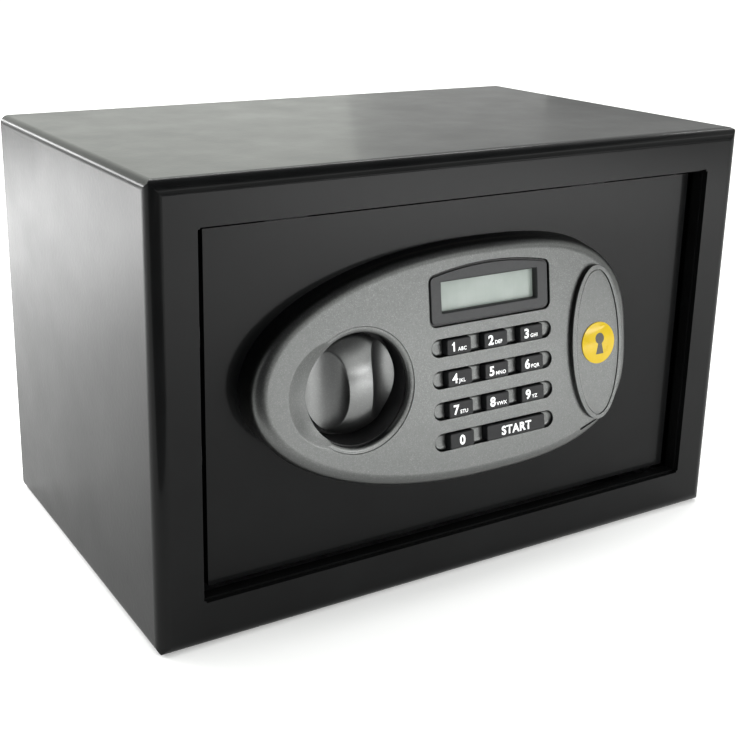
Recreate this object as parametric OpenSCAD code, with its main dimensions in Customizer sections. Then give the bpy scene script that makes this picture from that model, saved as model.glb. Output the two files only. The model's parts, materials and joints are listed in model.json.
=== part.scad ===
// Small electronic in room safe: a folded steel cabinet, a hinged door with a control panel,
// bolt work thrown by a knob, and the lock electronics under a cover on the inside of the door.
// X runs to the right, Y from front to back, Z up. The origin is the middle of the base.

/* [Cabinet] */
// Width of the steel cabinet
body_w = 310; // [306:1:330]
// Height of the steel cabinet
body_h = 200; // [198:1:220]
// Depth of the steel cabinet, without the control panel
body_d = 190; // [160:5:300]
// Thickness of the cabinet's sheet steel
sheet = 2; // [1.5:0.5:2]
// Outside radius of the folds round the front
front_fold = 6; // [4:1:8]
// Outside radius of the long folds that run from front to back
long_fold = 4; // [3:1:6]
// Width of the front frame at the two sides
frame_side = 21; // [20:0.5:22]
// Width of the front frame along the top
frame_top = 20; // [19:0.5:20]
// Width of the front frame along the bottom
frame_bottom = 22; // [20:0.5:22]

/* [Door] */
// How far the door's face lies behind the front frame
door_recess = 8; // [7:0.5:9]
// Thickness of the door plate
door_t = 4; // [3:0.5:4]
// Gap beside the door on the bolt side
door_gap_left = 4.5; // [4:0.5:5]
// Gap beside the door on the hinge side
door_gap_right = 3.5; // [3:0.5:4]
// Gap above and below the door
door_gap = 2; // [1.5:0.5:2.5]
// Depth of the cover on the inside of the door
inner_cover_d = 30; // [30:1:34]

/* [Control panel] */
// How far the control panel stands out past the front frame
panel_proud = 14; // [13:0.5:16]
// Tilt of the panel's face, which looks slightly upwards
tilt = 7.5; // [6:0.5:8]
// Half length of the panel towards the knob
panel_left = 115; // [113:0.5:116]
// Half length of the panel towards the oval cover
panel_right = 84.5; // [84:0.5:86]
// Height of the panel, measured up its face
panel_h = 106.5; // [106:0.5:108]
// Rounding round the panel's face
panel_round = 6; // [5:0.5:6.5]
// Wall thickness of the panel
panel_t = 2.2; // [1.8:0.1:2.4]

/* [Knob] */
// Sideways place of the knob
knob_x = -66; // [-67:0.5:-65]
// Radius of the knob
knob_r = 22; // [21:0.5:22.5]
// Radius of the domed front of the knob
knob_dome = 30.5; // [29:0.5:36]
// Width of the finger grip at the middle of the knob
grip_w = 11.4; // [10:0.2:12]
// Angle at which the grip leans when the bolts are drawn back
grip_lean = 2.5; // [0:0.5:6]

/* [Keypad] */
// Distance between key columns
key_pitch_x = 20; // [19.5:0.1:20.5]
// Distance between key rows
key_pitch_s = 14.05; // [13.5:0.05:14.3]
// Width of a single key
key_w = 13; // [12:0.1:13.4]
// Height of a key
key_h = 7; // [6.5:0.1:7.2]
// Travel of a key
key_travel = 1.2; // [0.8:0.1:1.3]

/* [Locking] */
// Radius of each locking bolt
bolt_r = 7; // [6:0.5:7.5]
// Distance of each locking bolt above and below the knob
bolt_offset = 26; // [25:0.5:27]
// Radius on which the cam pin turns
cam_r = 12; // [11.5:0.1:12.5]

/* [Hidden] */
$fn = 64;

// Colours
black_coat = [0.07, 0.07, 0.08];
silver_paint = [0.58, 0.59, 0.58];
dark_plastic = [0.10, 0.10, 0.11];
bezel_grey = [0.27, 0.28, 0.29];
lcd_green = [0.72, 0.77, 0.74];
key_black = [0.13, 0.13, 0.14];
badge_yellow = [0.95, 0.82, 0.20];
plain_steel = [0.62, 0.63, 0.65];
bright_steel = [0.80, 0.81, 0.83];
brass = [0.78, 0.66, 0.34];
board_green = [0.10, 0.35, 0.20];
copper = [0.70, 0.40, 0.22];
felt_grey = [0.20, 0.20, 0.21];
cell_blue = [0.16, 0.24, 0.42];
button_red = [0.75, 0.10, 0.10];
wire_red = [0.60, 0.08, 0.08];

// Cut shapes run this far past the faces they cut
over = 1;
// Gap left between pieces that slide past or lie against each other
slip = 0.3;
// Radial clearance of a shaft that turns or slides in its bearing
running = 0.05;
// Depth of the blind holes in the back of the door plate
blind = 2;

// Places of the cabinet's faces
front_y = (panel_proud - body_d) / 2;
back_y = (panel_proud + body_d) / 2;
opening_x = body_w / 2 - frame_side;
opening_low = frame_bottom;
opening_high = body_h - frame_top;
return_d = door_recess;

// Fixing holes: two in the base, and two in the back panel at the same distance apart
fixing_x = 75;
fixing_y = 40;
fixing_z = 100;
fixing_r = 5;
stop_xs = [-90, 70];

// Places of the door's faces and edges
door_y = front_y + door_recess;
door_back = door_y + door_t;
door_left = -opening_x + door_gap_left;
door_right = opening_x - door_gap_right;
door_low = opening_low + door_gap;
door_high = opening_high - door_gap;
cover_back = door_back + inner_cover_d;

// Hinge line
hinge_x = door_right - 4.5;
hinge_y = door_back + 2;
pin_r = 3;
lug_h = 14;
bracket_t = 3;

// The panel's face is a plane through this point, tilted back at the top
panel_s = 3.25;
panel_half = panel_h / 2;
flat_drop = panel_half - panel_s - panel_round;
face_z = 105;
face_y = front_y - panel_proud + flat_drop * sin(tilt) + panel_round * (1 - cos(tilt));

// Quarter turn of the knob: the cam pin goes from one side of the knob's axis to the other
cam_angle = 45;
cam_pin_x = knob_x + cam_r * sin(cam_angle);
pin_rise = cam_r * (1 - cos(cam_angle));
cam_pin_r = 3;

// Knob and its spindle
knob_z = 105.6;
ring_r = 27.1;
mouth_r = 24.5;
mouth_lip = 3.5;
cup_wall = 1.5;
knob_back = door_y - 3;
knob_h = knob_back - face_y_at(knob_z) + 1.35;
// The two finger scoops are round grooves whose edges meet the dome at the sides of the grip
scoop_depth = 10.3;
scoop_r = 13;
grip_drop = knob_dome - sqrt(knob_dome * knob_dome - grip_w * grip_w / 4);
scoop_rise = scoop_r - scoop_depth;
scoop_x = grip_w / 2 + sqrt(scoop_r * scoop_r - pow(scoop_rise + grip_drop, 2));
spindle_r = 5;
bush_r = 7;

// Finger hollow in the panel, left of the knob
hollow_x = knob_x - 11;
hollow_s = 1;
hollow_r = 23;
hollow_ball = 60;

// Display
display_x = 3.2;
display_w = 66;
display_low = 21.4;
display_crown = 47.5;
display_arch = 145;
display_corner = 3;
lcd_w = 52;
lcd_h = 13.4;
lcd_s = 34;
lcd_x = 3;
bezel_t = 3;
window_d = bezel_t + panel_t;

// Keypad
keypad_x = 3.5;
key_shift = 0.5;
keypad_top = 12;
slot_w = 66;
slot_h = 7.9;
slot_d = 1.9;
floor_t = 1.7;
key_proud = 1.5;
key_lip = 1.1;
lip_t = 1;
mat_t = 1.5;
board_t = 1.6;
lip_depth = slot_d + floor_t + slip;
mat_depth = lip_depth + lip_t + key_travel + 0.2;
board_depth = mat_depth + mat_t + 0.1;

// Emergency key lock under the oval cover
lock_x = 62.5;
lock_z = 100;
lock_r = 9.5;
plug_r = 6;
lock_front = face_y_at(lock_z) + 1.8;
lock_rear = door_back + 12.5;
oval_x = 62.6;
oval_s = 1.6;
oval_w = 30.4;
oval_h = 73.6;
oval_t = 2;
badge_r = 9.8;
cover_lift = 0.1;

// Slot in the panel below the oval cover, where a blade lifts the cover
notch_x = 58;
notch_s = -36.5;
notch_d = 0.7;
notch_l = 13;
notch_w = 1.6;
notch_turn = 9;

// Bolt work, all of it behind the door plate
bolt_y = door_back + 9;
throw = 2 * cam_r * sin(cam_angle);
plate_front = door_back + 2;
plate_t = 2.5;
plate_left = knob_x - 35;
plate_right = knob_x + 44;
plate_high = knob_z + 20.4;
plate_low = knob_z - 9.6;
tail_depth = 12;
flange_t = 3;
bolt_tip = door_left + 0.5;
stud_r = 3;
stud_l = 7;
stud_xs = [plate_left + 9, knob_x + 19];
stud_z = knob_z + 14.4;
keeper_t = 3;
keeper_x = -opening_x - 6;
// Side of the square holes in the keeper
keeper_hole = 2 * bolt_r + 2.4;

// Solenoid
plunger_x = -24;
plunger_y = door_back + 10;
plunger_r = 3;
plunger_tip = knob_z + 6.8;
plunger_drop = 5;
coil_low = plunger_tip + 16;
coil_h = 26;
coil_r = 8.5;

// Battery box
battery_x = -7;
battery_z = 40;
battery_w = 56;
battery_h = 62;
battery_wall = 1.5;
cell_r = 7.1;
cell_l = 50;
cell_pitch = 15;

// Control board and reset button
board_x = -6;
board_z = 110;
board_w = 56;
board_h = 48;
board_y = door_back + 5;
reset_x = 40;
reset_z = 146;
reset_r = 4;
reset_travel = 2;
reset_proud = 1.8;
reset_l = 8;
// Back of the small switch that the pressed button would just not reach
switch_back = cover_back + reset_proud - reset_l - reset_travel - 0.4;

// Harness
harness_x = 10;
harness_r = 1.6;

function face_y_at(z) = face_y + (z - face_z) * tan(tilt);
function s_of(z) = (z - face_z) / cos(tilt);

// ---------- helpers ----------

// Puts its children on the panel's face: x across, y up the face, z out of it
module on_face(x = 0, s = 0, depth = 0) {
    translate([0, face_y, face_z])
        rotate([90 - tilt, 0, 0])
            translate([x, s, -depth])
                children();
}

// Puts its children on an upright plane at depth y, with z pointing to the front
module upright(x, y, z) {
    translate([x, y, z])
        rotate([90, 0, 0])
            children();
}

// A block between two opposite corners
module block(low, high) {
    translate(low)
        cube([for (i = [0:2]) high[i] - low[i]]);
}

// A flat rectangle with round corners, centred
module round_rect(w, h, r) {
    for (sx = [-1, 1], sy = [-1, 1])
        translate([sx * (w / 2 - r), sy * (h / 2 - r)])
            circle(r);
    square([w - 2 * r, h], center = true);
    square([w, h - 2 * r], center = true);
}

// A flat slot with half-round ends, centred
module stadium(w, h) {
    for (side = [-1, 1])
        translate([side * (w - h) / 2, 0])
            circle(h / 2);
    square([w - h, h], center = true);
}

// A screw with a low round head: the head's back lies at y, and the shank runs to the front
module screw_to_front(x, y, z, shank_r, shank_l, head_r, head_h) {
    upright(x, y, z)
        cylinder(r = shank_r, h = shank_l);
    upright(x, y + head_h, z)
        difference() {
            cylinder(r = head_r, h = head_h);
            translate([-head_r, -0.5, -over])
                cube([2 * head_r, 1, over + head_h / 3]);
        }
}

// ---------- cabinet ----------

// A box with folded edges. inset shrinks it by a wall thickness on every side but the back
module folded_box(inset, back) {
    w = body_w - 2 * inset;
    low = inset;
    high = body_h - inset;
    front = front_y + inset;
    long_r = long_fold - inset;
    front_r = front_fold - inset;
    intersection() {
        translate([0, back, (low + high) / 2])
            rotate([90, 0, 0])
                linear_extrude(back - front)
                    round_rect(w, high - low, long_r);
        rotate([90, 0, 90])
            linear_extrude(body_w + 2 * over, center = true)
                front_rounded(front, back, low, high, front_r);
        translate([0, 0, -over])
            linear_extrude(body_h + 2 * over)
                rotate(90)
                    front_rounded(front, back, -w / 2, w / 2, front_r, -1);
    }
}

// A rectangle from front to back whose two front corners are rounded
module front_rounded(front, back, low, high, r, side = 1) {
    for (level = [low + r, high - r])
        translate([front + r, side * level])
            circle(r);
    translate([front, min(side * (low + r), side * (high - r))])
        square([back - front, high - low - 2 * r]);
    translate([front + r, min(side * low, side * high)])
        square([back - front - r, high - low]);
}

module opening_block(margin, front, back) {
    block([-opening_x - margin, front, opening_low - margin],
          [opening_x + margin, back, opening_high + margin]);
}

bend_r = 2.5;

// The bend where the front frame turns inwards, along one edge of the opening
module opening_bend(length) {
    rotate([0, 90, 0])
        difference() {
            translate([-bend_r, -over, -length / 2])
                cube([bend_r + over, bend_r + over, length]);
            translate([-bend_r, bend_r, -length / 2 - over])
                cylinder(r = bend_r, h = length + 2 * over);
        }
}

module base_holes(r, low, high) {
    for (side = [-1, 1])
        translate([side * fixing_x, fixing_y, low])
            cylinder(r = r, h = high - low);
}

module cabinet_shell() {
    height = opening_high - opening_low;
    color(black_coat)
        difference() {
            folded_box(0, back_y);
            difference() {
                folded_box(sheet, back_y + over);
                difference() {
                    opening_block(sheet, front_y, front_y + return_d);
                    opening_block(0, front_y - over, front_y + return_d + over);
                }
            }
            opening_block(0, front_y - over, front_y + return_d + over);
            translate([0, front_y, opening_low])
                opening_bend(2 * opening_x);
            translate([0, front_y, opening_high])
                mirror([0, 0, 1])
                    opening_bend(2 * opening_x);
            for (side = [-1, 1])
                translate([side * opening_x, front_y, (opening_low + opening_high) / 2])
                    rotate([0, -side * 90, 0])
                        opening_bend(height);
            base_holes(fixing_r, -over, sheet + over);
        }
}

module back_panel() {
    color(black_coat)
        difference() {
            block([-body_w / 2 + sheet, back_y - sheet, sheet],
                  [body_w / 2 - sheet, back_y, body_h - sheet]);
            for (side = [-1, 1])
                upright(side * fixing_x, back_y + over, fixing_z)
                    cylinder(r = fixing_r, h = sheet + 2 * over);
            for (sx = [-1, 1], level = [sheet, body_h - sheet])
                translate([sx * (body_w / 2 - sheet), back_y - sheet - over, level])
                    rotate([-90, 0, 0])
                        corner_relief(long_fold - sheet, sheet + 2 * over);
        }
}

// Clears the round inner corner of the shell
module corner_relief(r, h) {
    rotate(45)
        translate([-r, -r, 0])
            cube([2 * r, 2 * r, h]);
}

// One plate behind the front frame with the bore for a hinge pin
module hinge_bracket(low) {
    difference() {
        block([hinge_x - 14, front_y + sheet, low], [hinge_x + 14, hinge_y + 8, low + bracket_t]);
        translate([hinge_x, hinge_y, low - over])
            cylinder(r = pin_r + running, h = bracket_t + 2 * over);
    }
}

bracket_low = opening_low - sheet - bracket_t - 1;
bracket_high = opening_high + sheet + 1;

module hinge_brackets() {
    color(plain_steel) {
        hinge_bracket(bracket_low);
        hinge_bracket(bracket_high);
    }
}

module bolt_keeper() {
    color(plain_steel)
        difference() {
            block([keeper_x, front_y + sheet, knob_z - bolt_offset - 18],
                  [keeper_x + keeper_t, bolt_y + 15, knob_z + bolt_offset + 18]);
            for (side = [-1, 1])
                translate([keeper_x + keeper_t / 2, bolt_y, knob_z + side * bolt_offset])
                    cube([keeper_t + 2 * over, keeper_hole, keeper_hole], center = true);
        }
}

module door_stops() {
    color(plain_steel)
        for (x = stop_xs)
            block([x - 10, door_back + 0.4, opening_high - 9], [x + 10, door_back + 2.9, body_h - sheet]);
}

mat_h = 2.5;

module floor_mat() {
    color(felt_grey)
        difference() {
            translate([0, (front_y + back_y) / 2 + 12, sheet])
                linear_extrude(mat_h)
                    round_rect(body_w - 2 * sheet - 8, body_d - 36, 4);
            base_holes(fixing_r + 7, 0, sheet + mat_h + over);
        }
}

// ---------- door ----------

module door_plate() {
    color(black_coat)
        difference() {
            block([door_left, door_y, door_low], [door_right, door_back, door_high]);
            upright(knob_x, door_back + over, knob_z)
                cylinder(r = bush_r, h = door_t + 2 * over);
            upright(harness_x, door_back + over, knob_z)
                cylinder(r = 6, h = door_t + 2 * over);
            upright(lock_x, door_back + over, lock_z)
                cylinder(r = lock_r, h = door_t + 2 * over);
            for (p = boss_places)
                upright(p[0], door_back + over, p[1])
                    cylinder(r = 2.2, h = door_t + 2 * over);
            for (p = cover_screw_places)
                upright(p[0], door_back + over, p[1])
                    cylinder(r = 2, h = blind + over);
            for (x = stud_xs)
                upright(x, door_back + over, stud_z)
                    cylinder(r = stud_r, h = blind + over);
            // Groove for the two hinge pins
            translate([hinge_x, hinge_y, door_low - over])
                cylinder(r = pin_r + running, h = door_high - door_low + 2 * over);
        }
}

lug_lows = [door_low - 0.5, door_high + 0.5 - lug_h];

module hinge_lugs() {
    color(plain_steel)
        for (low = lug_lows)
            difference() {
                block([hinge_x - 7, door_back, low], [hinge_x + 5, hinge_y + 5, low + lug_h]);
                translate([hinge_x, hinge_y, low - over])
                    cylinder(r = pin_r, h = lug_h + 2 * over);
            }
}

module hinge_pins() {
    color(bright_steel) {
        translate([hinge_x, hinge_y, bracket_low - 2])
            cylinder(r = pin_r, h = lug_lows[0] + lug_h - bracket_low);
        translate([hinge_x, hinge_y, lug_lows[1] + 2])
            cylinder(r = pin_r, h = bracket_high + bracket_t + 2 - lug_lows[1] - 2);
    }
}

guide_x = door_left + 6;

module bolt_guide() {
    low = knob_z - bolt_offset - 12;
    high = knob_z + bolt_offset + 12;
    color(plain_steel)
        difference() {
            union() {
                block([guide_x, door_back, low], [guide_x + 3, bolt_y + bolt_r + 3, high]);
                block([guide_x, door_back, low], [guide_x + 15, door_back + 1.5, high]);
            }
            for (side = [-1, 1])
                translate([guide_x - over, bolt_y, knob_z + side * bolt_offset])
                    rotate([0, 90, 0])
                        cylinder(r = bolt_r + running, h = 3 + 2 * over);
        }
}

module guide_studs() {
    color(bright_steel)
        for (x = stud_xs)
            upright(x, door_back + stud_l, stud_z) {
                cylinder(r = stud_r, h = stud_l + blind);
                cylinder(r = stud_r + 2, h = 2);
            }
}

module spindle_bush() {
    color(brass)
        difference() {
            union() {
                upright(knob_x, door_back, knob_z)
                    cylinder(r = bush_r, h = door_t);
                upright(knob_x, door_back + 1.4, knob_z)
                    cylinder(r = bush_r + 2, h = 1.4);
            }
            upright(knob_x, door_back + 1.4 + over, knob_z)
                cylinder(r = spindle_r + running, h = door_t + 1.4 + 2 * over);
        }
}

module cable_grommet() {
    color(dark_plastic)
        difference() {
            union() {
                upright(harness_x, door_back, knob_z)
                    cylinder(r = 6, h = door_t);
                upright(harness_x, door_back + 1.2, knob_z)
                    cylinder(r = 7.5, h = 1.2);
            }
            upright(harness_x, door_back + 1.2 + over, knob_z)
                cylinder(r = harness_r + 0.2, h = door_t + 1.2 + 2 * over);
        }
}

// ---------- inside of the door ----------

cover_left = door_left + 1.5;
cover_right = hinge_x - 14;
cover_low = 30;
cover_high = 170;
cover_t = 1.6;
cover_screw_places = [
    for (x = [cover_left + 8, cover_right - 8], z = [cover_low + 7, cover_high - 7]) [x, z]
];

module inner_cover() {
    mid_x = (cover_left + cover_right) / 2;
    mid_z = (cover_low + cover_high) / 2;
    w = cover_right - cover_left;
    h = cover_high - cover_low;
    color(black_coat)
        difference() {
            upright(mid_x, cover_back, mid_z)
                linear_extrude(inner_cover_d)
                    round_rect(w, h, 4);
            upright(mid_x, cover_back - cover_t, mid_z)
                linear_extrude(inner_cover_d)
                    round_rect(w - 2 * cover_t, h - 2 * cover_t, 2.4);
            block([battery_x, cover_back - cover_t - over, battery_z],
                  [battery_x + battery_w, cover_back + over, battery_z + battery_h]);
            upright(reset_x, cover_back + over, reset_z)
                cylinder(r = reset_r + 0.2, h = cover_t + 2 * over);
            for (p = cover_screw_places)
                upright(p[0], cover_back + over, p[1])
                    cylinder(r = 2.2, h = cover_t + 2 * over);
            for (side = [-1, 1])
                translate([cover_left - over, bolt_y, knob_z + side * bolt_offset])
                    rotate([0, 90, 0])
                        cylinder(r = bolt_r + 0.6, h = cover_t + 2 * over);
        }
}

module cover_screws() {
    color(bright_steel)
        for (p = cover_screw_places)
            screw_to_front(p[0], cover_back, p[1], 2, inner_cover_d + blind, 4, 1.6);
}

box_front = door_back + 8;
box_back = cover_back - cover_t;
cell_y = box_front + 1.6 + cell_r + 0.4;
battery_top = battery_z + battery_h + battery_wall;

module battery_box() {
    color(dark_plastic)
        difference() {
            block([battery_x - battery_wall, box_front, battery_z - battery_wall],
                  [battery_x + battery_w + battery_wall, box_back, battery_z + battery_h + battery_wall]);
            block([battery_x, box_front + 1.6, battery_z],
                  [battery_x + battery_w, box_back + over, battery_z + battery_h]);
        }
}

module batteries() {
    color(cell_blue)
        for (i = [0:3]) {
            z = battery_z + battery_h / 2 + (i - 1.5) * cell_pitch;
            flip = i % 2 == 0 ? 1 : -1;
            translate([battery_x + battery_w / 2, cell_y, z])
                rotate([0, 90, 0]) {
                    cylinder(r = cell_r, h = cell_l - 1.5, center = true);
                    translate([0, 0, flip * (cell_l / 2 - 0.4)])
                        cylinder(r = 2.7, h = 1.5, center = true);
                }
        }
}

module battery_contacts() {
    color(bright_steel)
        for (end = [0, 1], i = [0:3]) {
            x = battery_x + end * (battery_w - 0.6);
            z = battery_z + battery_h / 2 + (i - 1.5) * cell_pitch;
            block([x, cell_y - 5, z - 5], [x + 0.6, cell_y + 5, z + 5]);
        }
}

module battery_cover() {
    gap = 0.3;
    color(dark_plastic) {
        difference() {
            block([battery_x + gap, cover_back - cover_t, battery_z + gap],
                  [battery_x + battery_w - gap, cover_back + 0.8, battery_z + battery_h - gap]);
            for (i = [0:4])
                block([battery_x + battery_w - 8, cover_back, battery_z + 21 + i * 4],
                      [battery_x + battery_w - 3, cover_back + 2, battery_z + 23 + i * 4]);
        }
    }
}

// The board carries a connector in front, and a chip, a switch and a connector behind
module control_board() {
    parts_front = board_y + board_t;
    color(board_green)
        block([board_x, board_y, board_z], [board_x + board_w, board_y + board_t, board_z + board_h]);
    color(dark_plastic) {
        block([harness_x - 5, door_back + 0.8, board_z + 4], [harness_x + 5, board_y, board_z + 10]);
        block([board_x + 18, parts_front, board_z + 18], [board_x + 32, parts_front + 3, board_z + 32]);
        block([reset_x - 3, parts_front, reset_z - 3], [reset_x + 3, switch_back, reset_z + 3]);
        block([board_x + 30, parts_front, board_z + 3], [board_x + 38, parts_front + 5, board_z + 9]);
    }
}

module board_posts() {
    color(brass)
        for (x = [board_x + 4, board_x + board_w - 4], z = [board_z + 4, board_z + board_h - 4])
            upright(x, board_y, z)
                cylinder(r = 2.5, h = board_y - door_back);
}

module wiring_harness() {
    back_of_keypad = face_y_at(knob_z) + (board_depth + board_t) / cos(tilt) + 0.3;
    bend_y = door_back + 2.8;
    color(wire_red) {
        upright(harness_x, bend_y, knob_z)
            cylinder(r = harness_r, h = bend_y - back_of_keypad);
        translate([harness_x, bend_y, knob_z])
            sphere(r = harness_r);
        translate([harness_x, bend_y, knob_z])
            cylinder(r = harness_r, h = board_z + 4 - knob_z);
        translate([board_x + 34, board_y + board_t + 3, battery_top])
            cylinder(r = harness_r, h = board_z + 3 - battery_top);
    }
}

module reset_button() {
    color(button_red) {
        upright(reset_x, cover_back + reset_proud, reset_z)
            cylinder(r = reset_r, h = reset_l);
        upright(reset_x, cover_back - cover_t - 0.3, reset_z)
            cylinder(r = reset_r + 1.2, h = 1.2);
    }
}

// ---------- solenoid ----------

// A steel loop round the coil whose front leg is bolted to the door
module solenoid_frame() {
    low = coil_low - 2;
    high = coil_low + coil_h + 2;
    half = coil_r + 1;
    rear = plunger_y + coil_r;
    color(plain_steel)
        difference() {
            union() {
                block([plunger_x - half, door_back, low], [plunger_x + half, door_back + 1.2, high + 9]);
                for (level = [low, high - 2])
                    block([plunger_x - half, door_back, level], [plunger_x + half, rear + 1.5, level + 2]);
                block([plunger_x - half, rear, low], [plunger_x + half, rear + 1.5, high]);
            }
            translate([plunger_x, plunger_y, low - over])
                cylinder(r = plunger_r + 0.1, h = 2 + 2 * over);
        }
}

module solenoid_coil() {
    color(copper)
        difference() {
            translate([plunger_x, plunger_y, coil_low])
                cylinder(r = coil_r, h = coil_h);
            translate([plunger_x, plunger_y, coil_low - over])
                cylinder(r = plunger_r + 0.1, h = coil_h - 3 + over);
        }
}

collar_z = plunger_tip + 3.5;
collar_t = 1.2;

module solenoid_plunger() {
    color(bright_steel) {
        translate([plunger_x, plunger_y, plunger_tip])
            cylinder(r = plunger_r, h = 30);
        translate([plunger_x, plunger_y, collar_z])
            cylinder(r = plunger_r + 2.2, h = collar_t);
    }
}

// The spring pushes the plunger's collar down from the solenoid's frame
spring_low = collar_z + collar_t;
spring_high = coil_low - 2;
spring_r = plunger_r + 1.2;
wire_r = 0.4;
spring_turns = 3;
ring_steps = 20;
wire_sides = 8;

function spring_point(i, a) =
    let (turn = 360 * i / ring_steps,
         reach = spring_r + wire_r * cos(a),
         share = i / (spring_turns * ring_steps),
         rise = spring_low + wire_r + (spring_high - spring_low - 2 * wire_r) * share)
    [plunger_x + reach * cos(turn), plunger_y + reach * sin(turn), rise + wire_r * sin(a)];

module plunger_spring() {
    rings = spring_turns * ring_steps;
    points = [for (i = [0:rings], k = [0:wire_sides - 1]) spring_point(i, 360 * k / wire_sides)];
    sides = [for (i = [0:rings - 1], k = [0:wire_sides - 1])
        let (next = (k + 1) % wire_sides)
        [i * wire_sides + k, (i + 1) * wire_sides + k, (i + 1) * wire_sides + next, i * wire_sides + next]];
    first_cap = [for (k = [0:wire_sides - 1]) k];
    last_cap = [for (k = [wire_sides - 1:-1:0]) rings * wire_sides + k];
    color(bright_steel)
        polyhedron(points, concat([first_cap], sides, [last_cap]));
}

// ---------- control panel ----------

outline_steps = 30;
left_power = 2.1;
right_power = 2.9;

// One point of a quarter of the panel's egg-shaped outline
function bulge(a, reach, half, power) =
    [reach * pow(cos(a), 2 / power), half * pow(sin(a), 2 / power)];

function quarter(reach, half, power) =
    [for (i = [0:outline_steps]) bulge(90 * i / outline_steps, reach, half, power)];

function reversed(list) = [for (i = [len(list) - 1:-1:0]) list[i]];

// The panel's outline, shrunk by inset all round
function panel_outline(inset) =
    let (half = panel_half - inset,
         right = quarter(panel_right - inset, half, right_power),
         left = quarter(panel_left - inset, half, left_power),
         upper = concat(right, [for (p = reversed(left)) if (p[0] > 0.01) [-p[0], p[1]]]),
         lower = [for (p = reversed(upper)) if (p[1] > 0.01) [p[0], -p[1]]])
    concat(upper, lower);

// The whole panel as one convex solid: a wall standing on the door and a rounded face
module panel_solid(inset, base = door_y) {
    round_r = panel_round - inset;
    leaf = 0.02;
    wall_z = face_z + panel_s * cos(tilt);
    hull() {
        translate([0, base, wall_z])
            rotate([90, 0, 0])
                linear_extrude(leaf)
                    scale([1, cos(tilt)])
                        polygon(panel_outline(inset));
        for (i = [0:5]) {
            a = 90 * i / 5;
            on_face(0, panel_s, inset + round_r * (1 - cos(a)) + leaf)
                linear_extrude(leaf)
                    polygon(panel_outline(inset + round_r * (1 - sin(a))));
        }
    }
}

// Places of the four screw bosses, as x and z on the door
boss_places = [[-37.5, 133], [-37.5, 66], [42, 144], [42, 62]];
boss_r = 4;
boss_hole_r = 1.6;
boss_hole_l = 7;

module display_outline(grow = 0) {
    offset(r = grow)
        offset(r = display_corner)
            offset(delta = -display_corner)
                intersection() {
                    translate([display_x - display_w / 2, display_low])
                        square([display_w, display_crown]);
                    translate([display_x, display_crown - display_arch])
                        circle(display_arch, $fn = 360);
                }
}

function row_s(row) = keypad_top - row * key_pitch_s;
function column_x(column) = keypad_x + key_shift + (column - 1) * key_pitch_x;

// Width and sideways place of the key in one column of one row. The start key spans two columns
function key_span(row, column) = row == 3 && column == 1 ? key_w + key_pitch_x : key_w;
function key_place(row, column) = row == 3 && column == 1 ? column_x(1.5) : column_x(column);
function last_column(row) = row == 3 ? 1 : 2;

module keypad_cutouts() {
    gap = 0.35;
    for (row = [0:3]) {
        on_face(keypad_x, row_s(row), slot_d)
            linear_extrude(slot_d + over)
                stadium(slot_w, slot_h);
        for (column = [0:last_column(row)])
            on_face(key_place(row, column), row_s(row), slot_d + floor_t + over)
                linear_extrude(floor_t + 2 * over)
                    square([key_span(row, column) + 2 * gap, key_h + 2 * gap], center = true);
    }
}

module escutcheon() {
    color(silver_paint)
        difference() {
            union() {
                difference() {
                    panel_solid(0);
                    panel_solid(panel_t, door_y + over);
                }
                intersection() {
                    panel_solid(0);
                    panel_backing();
                }
            }
            knob_mouth();
            on_face(0, 0, window_d)
                linear_extrude(window_d + over)
                    display_outline();
            keypad_cutouts();
            upright(lock_x, door_y + over, lock_z)
                cylinder(r = lock_r + 1.5, h = 30);
            for (p = boss_places)
                upright(p[0], door_y + over, p[1])
                    cylinder(r = boss_hole_r, h = over + boss_hole_l);
            on_face(notch_x, notch_s, notch_d)
                rotate(notch_turn)
                    linear_extrude(over + notch_d)
                        stadium(notch_l, notch_w);
        }
}

// A round plug lying along the knob's axis, cut off parallel to the panel's face at the given depth
module knob_well(r, base, depth) {
    difference() {
        upright(knob_x, base, knob_z)
            cylinder(r = r, h = 40);
        on_face(knob_x, s_of(knob_z), depth)
            translate([-50, -50, 0])
                cube([100, 100, 60]);
    }
}

// Thicker places inside the panel: behind the keypad, round the knob and at the screw bosses
module panel_backing() {
    on_face(keypad_x, row_s(1.5), slot_d + floor_t)
        linear_extrude(slot_d + floor_t - 0.5)
            round_rect(slot_w + 6, 4 * key_pitch_s + 4, 3);
    difference() {
        on_face(knob_x - 4, 0.6, 8)
            cylinder(r = ring_r + 6, h = 7.5);
        knob_well(mouth_r + cup_wall + 0.2, door_y + over, mouth_lip);
    }
    for (p = boss_places)
        upright(p[0], door_y, p[1])
            cylinder(r = boss_r, h = 30);
}

// The round opening for the knob, its chamfer and the finger hollow beside it
module knob_mouth() {
    ring_s = s_of(knob_z);
    upright(knob_x, door_y + over, knob_z)
        cylinder(r = mouth_r, h = 40);
    on_face(knob_x, ring_s, 1.3)
        cylinder(r1 = mouth_r, r2 = mouth_r + 2 * (ring_r - mouth_r), h = 2.6);
    on_face(hollow_x, hollow_s, -sqrt(hollow_ball * hollow_ball - hollow_r * hollow_r))
        sphere(r = hollow_ball, $fn = 128);
}

module escutcheon_screws() {
    color(bright_steel)
        for (p = boss_places)
            screw_to_front(p[0], door_back, p[1], boss_hole_r, door_t + 5, 3.4, 1.5);
}

module knob_cup() {
    color(dark_plastic)
        difference() {
            knob_well(mouth_r + cup_wall, door_y, mouth_lip + slip);
            upright(knob_x, door_y - cup_wall, knob_z)
                cylinder(r = mouth_r, h = 40);
            upright(knob_x, door_y + over, knob_z)
                cylinder(r = spindle_r + 0.5, h = 10);
        }
}

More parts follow.
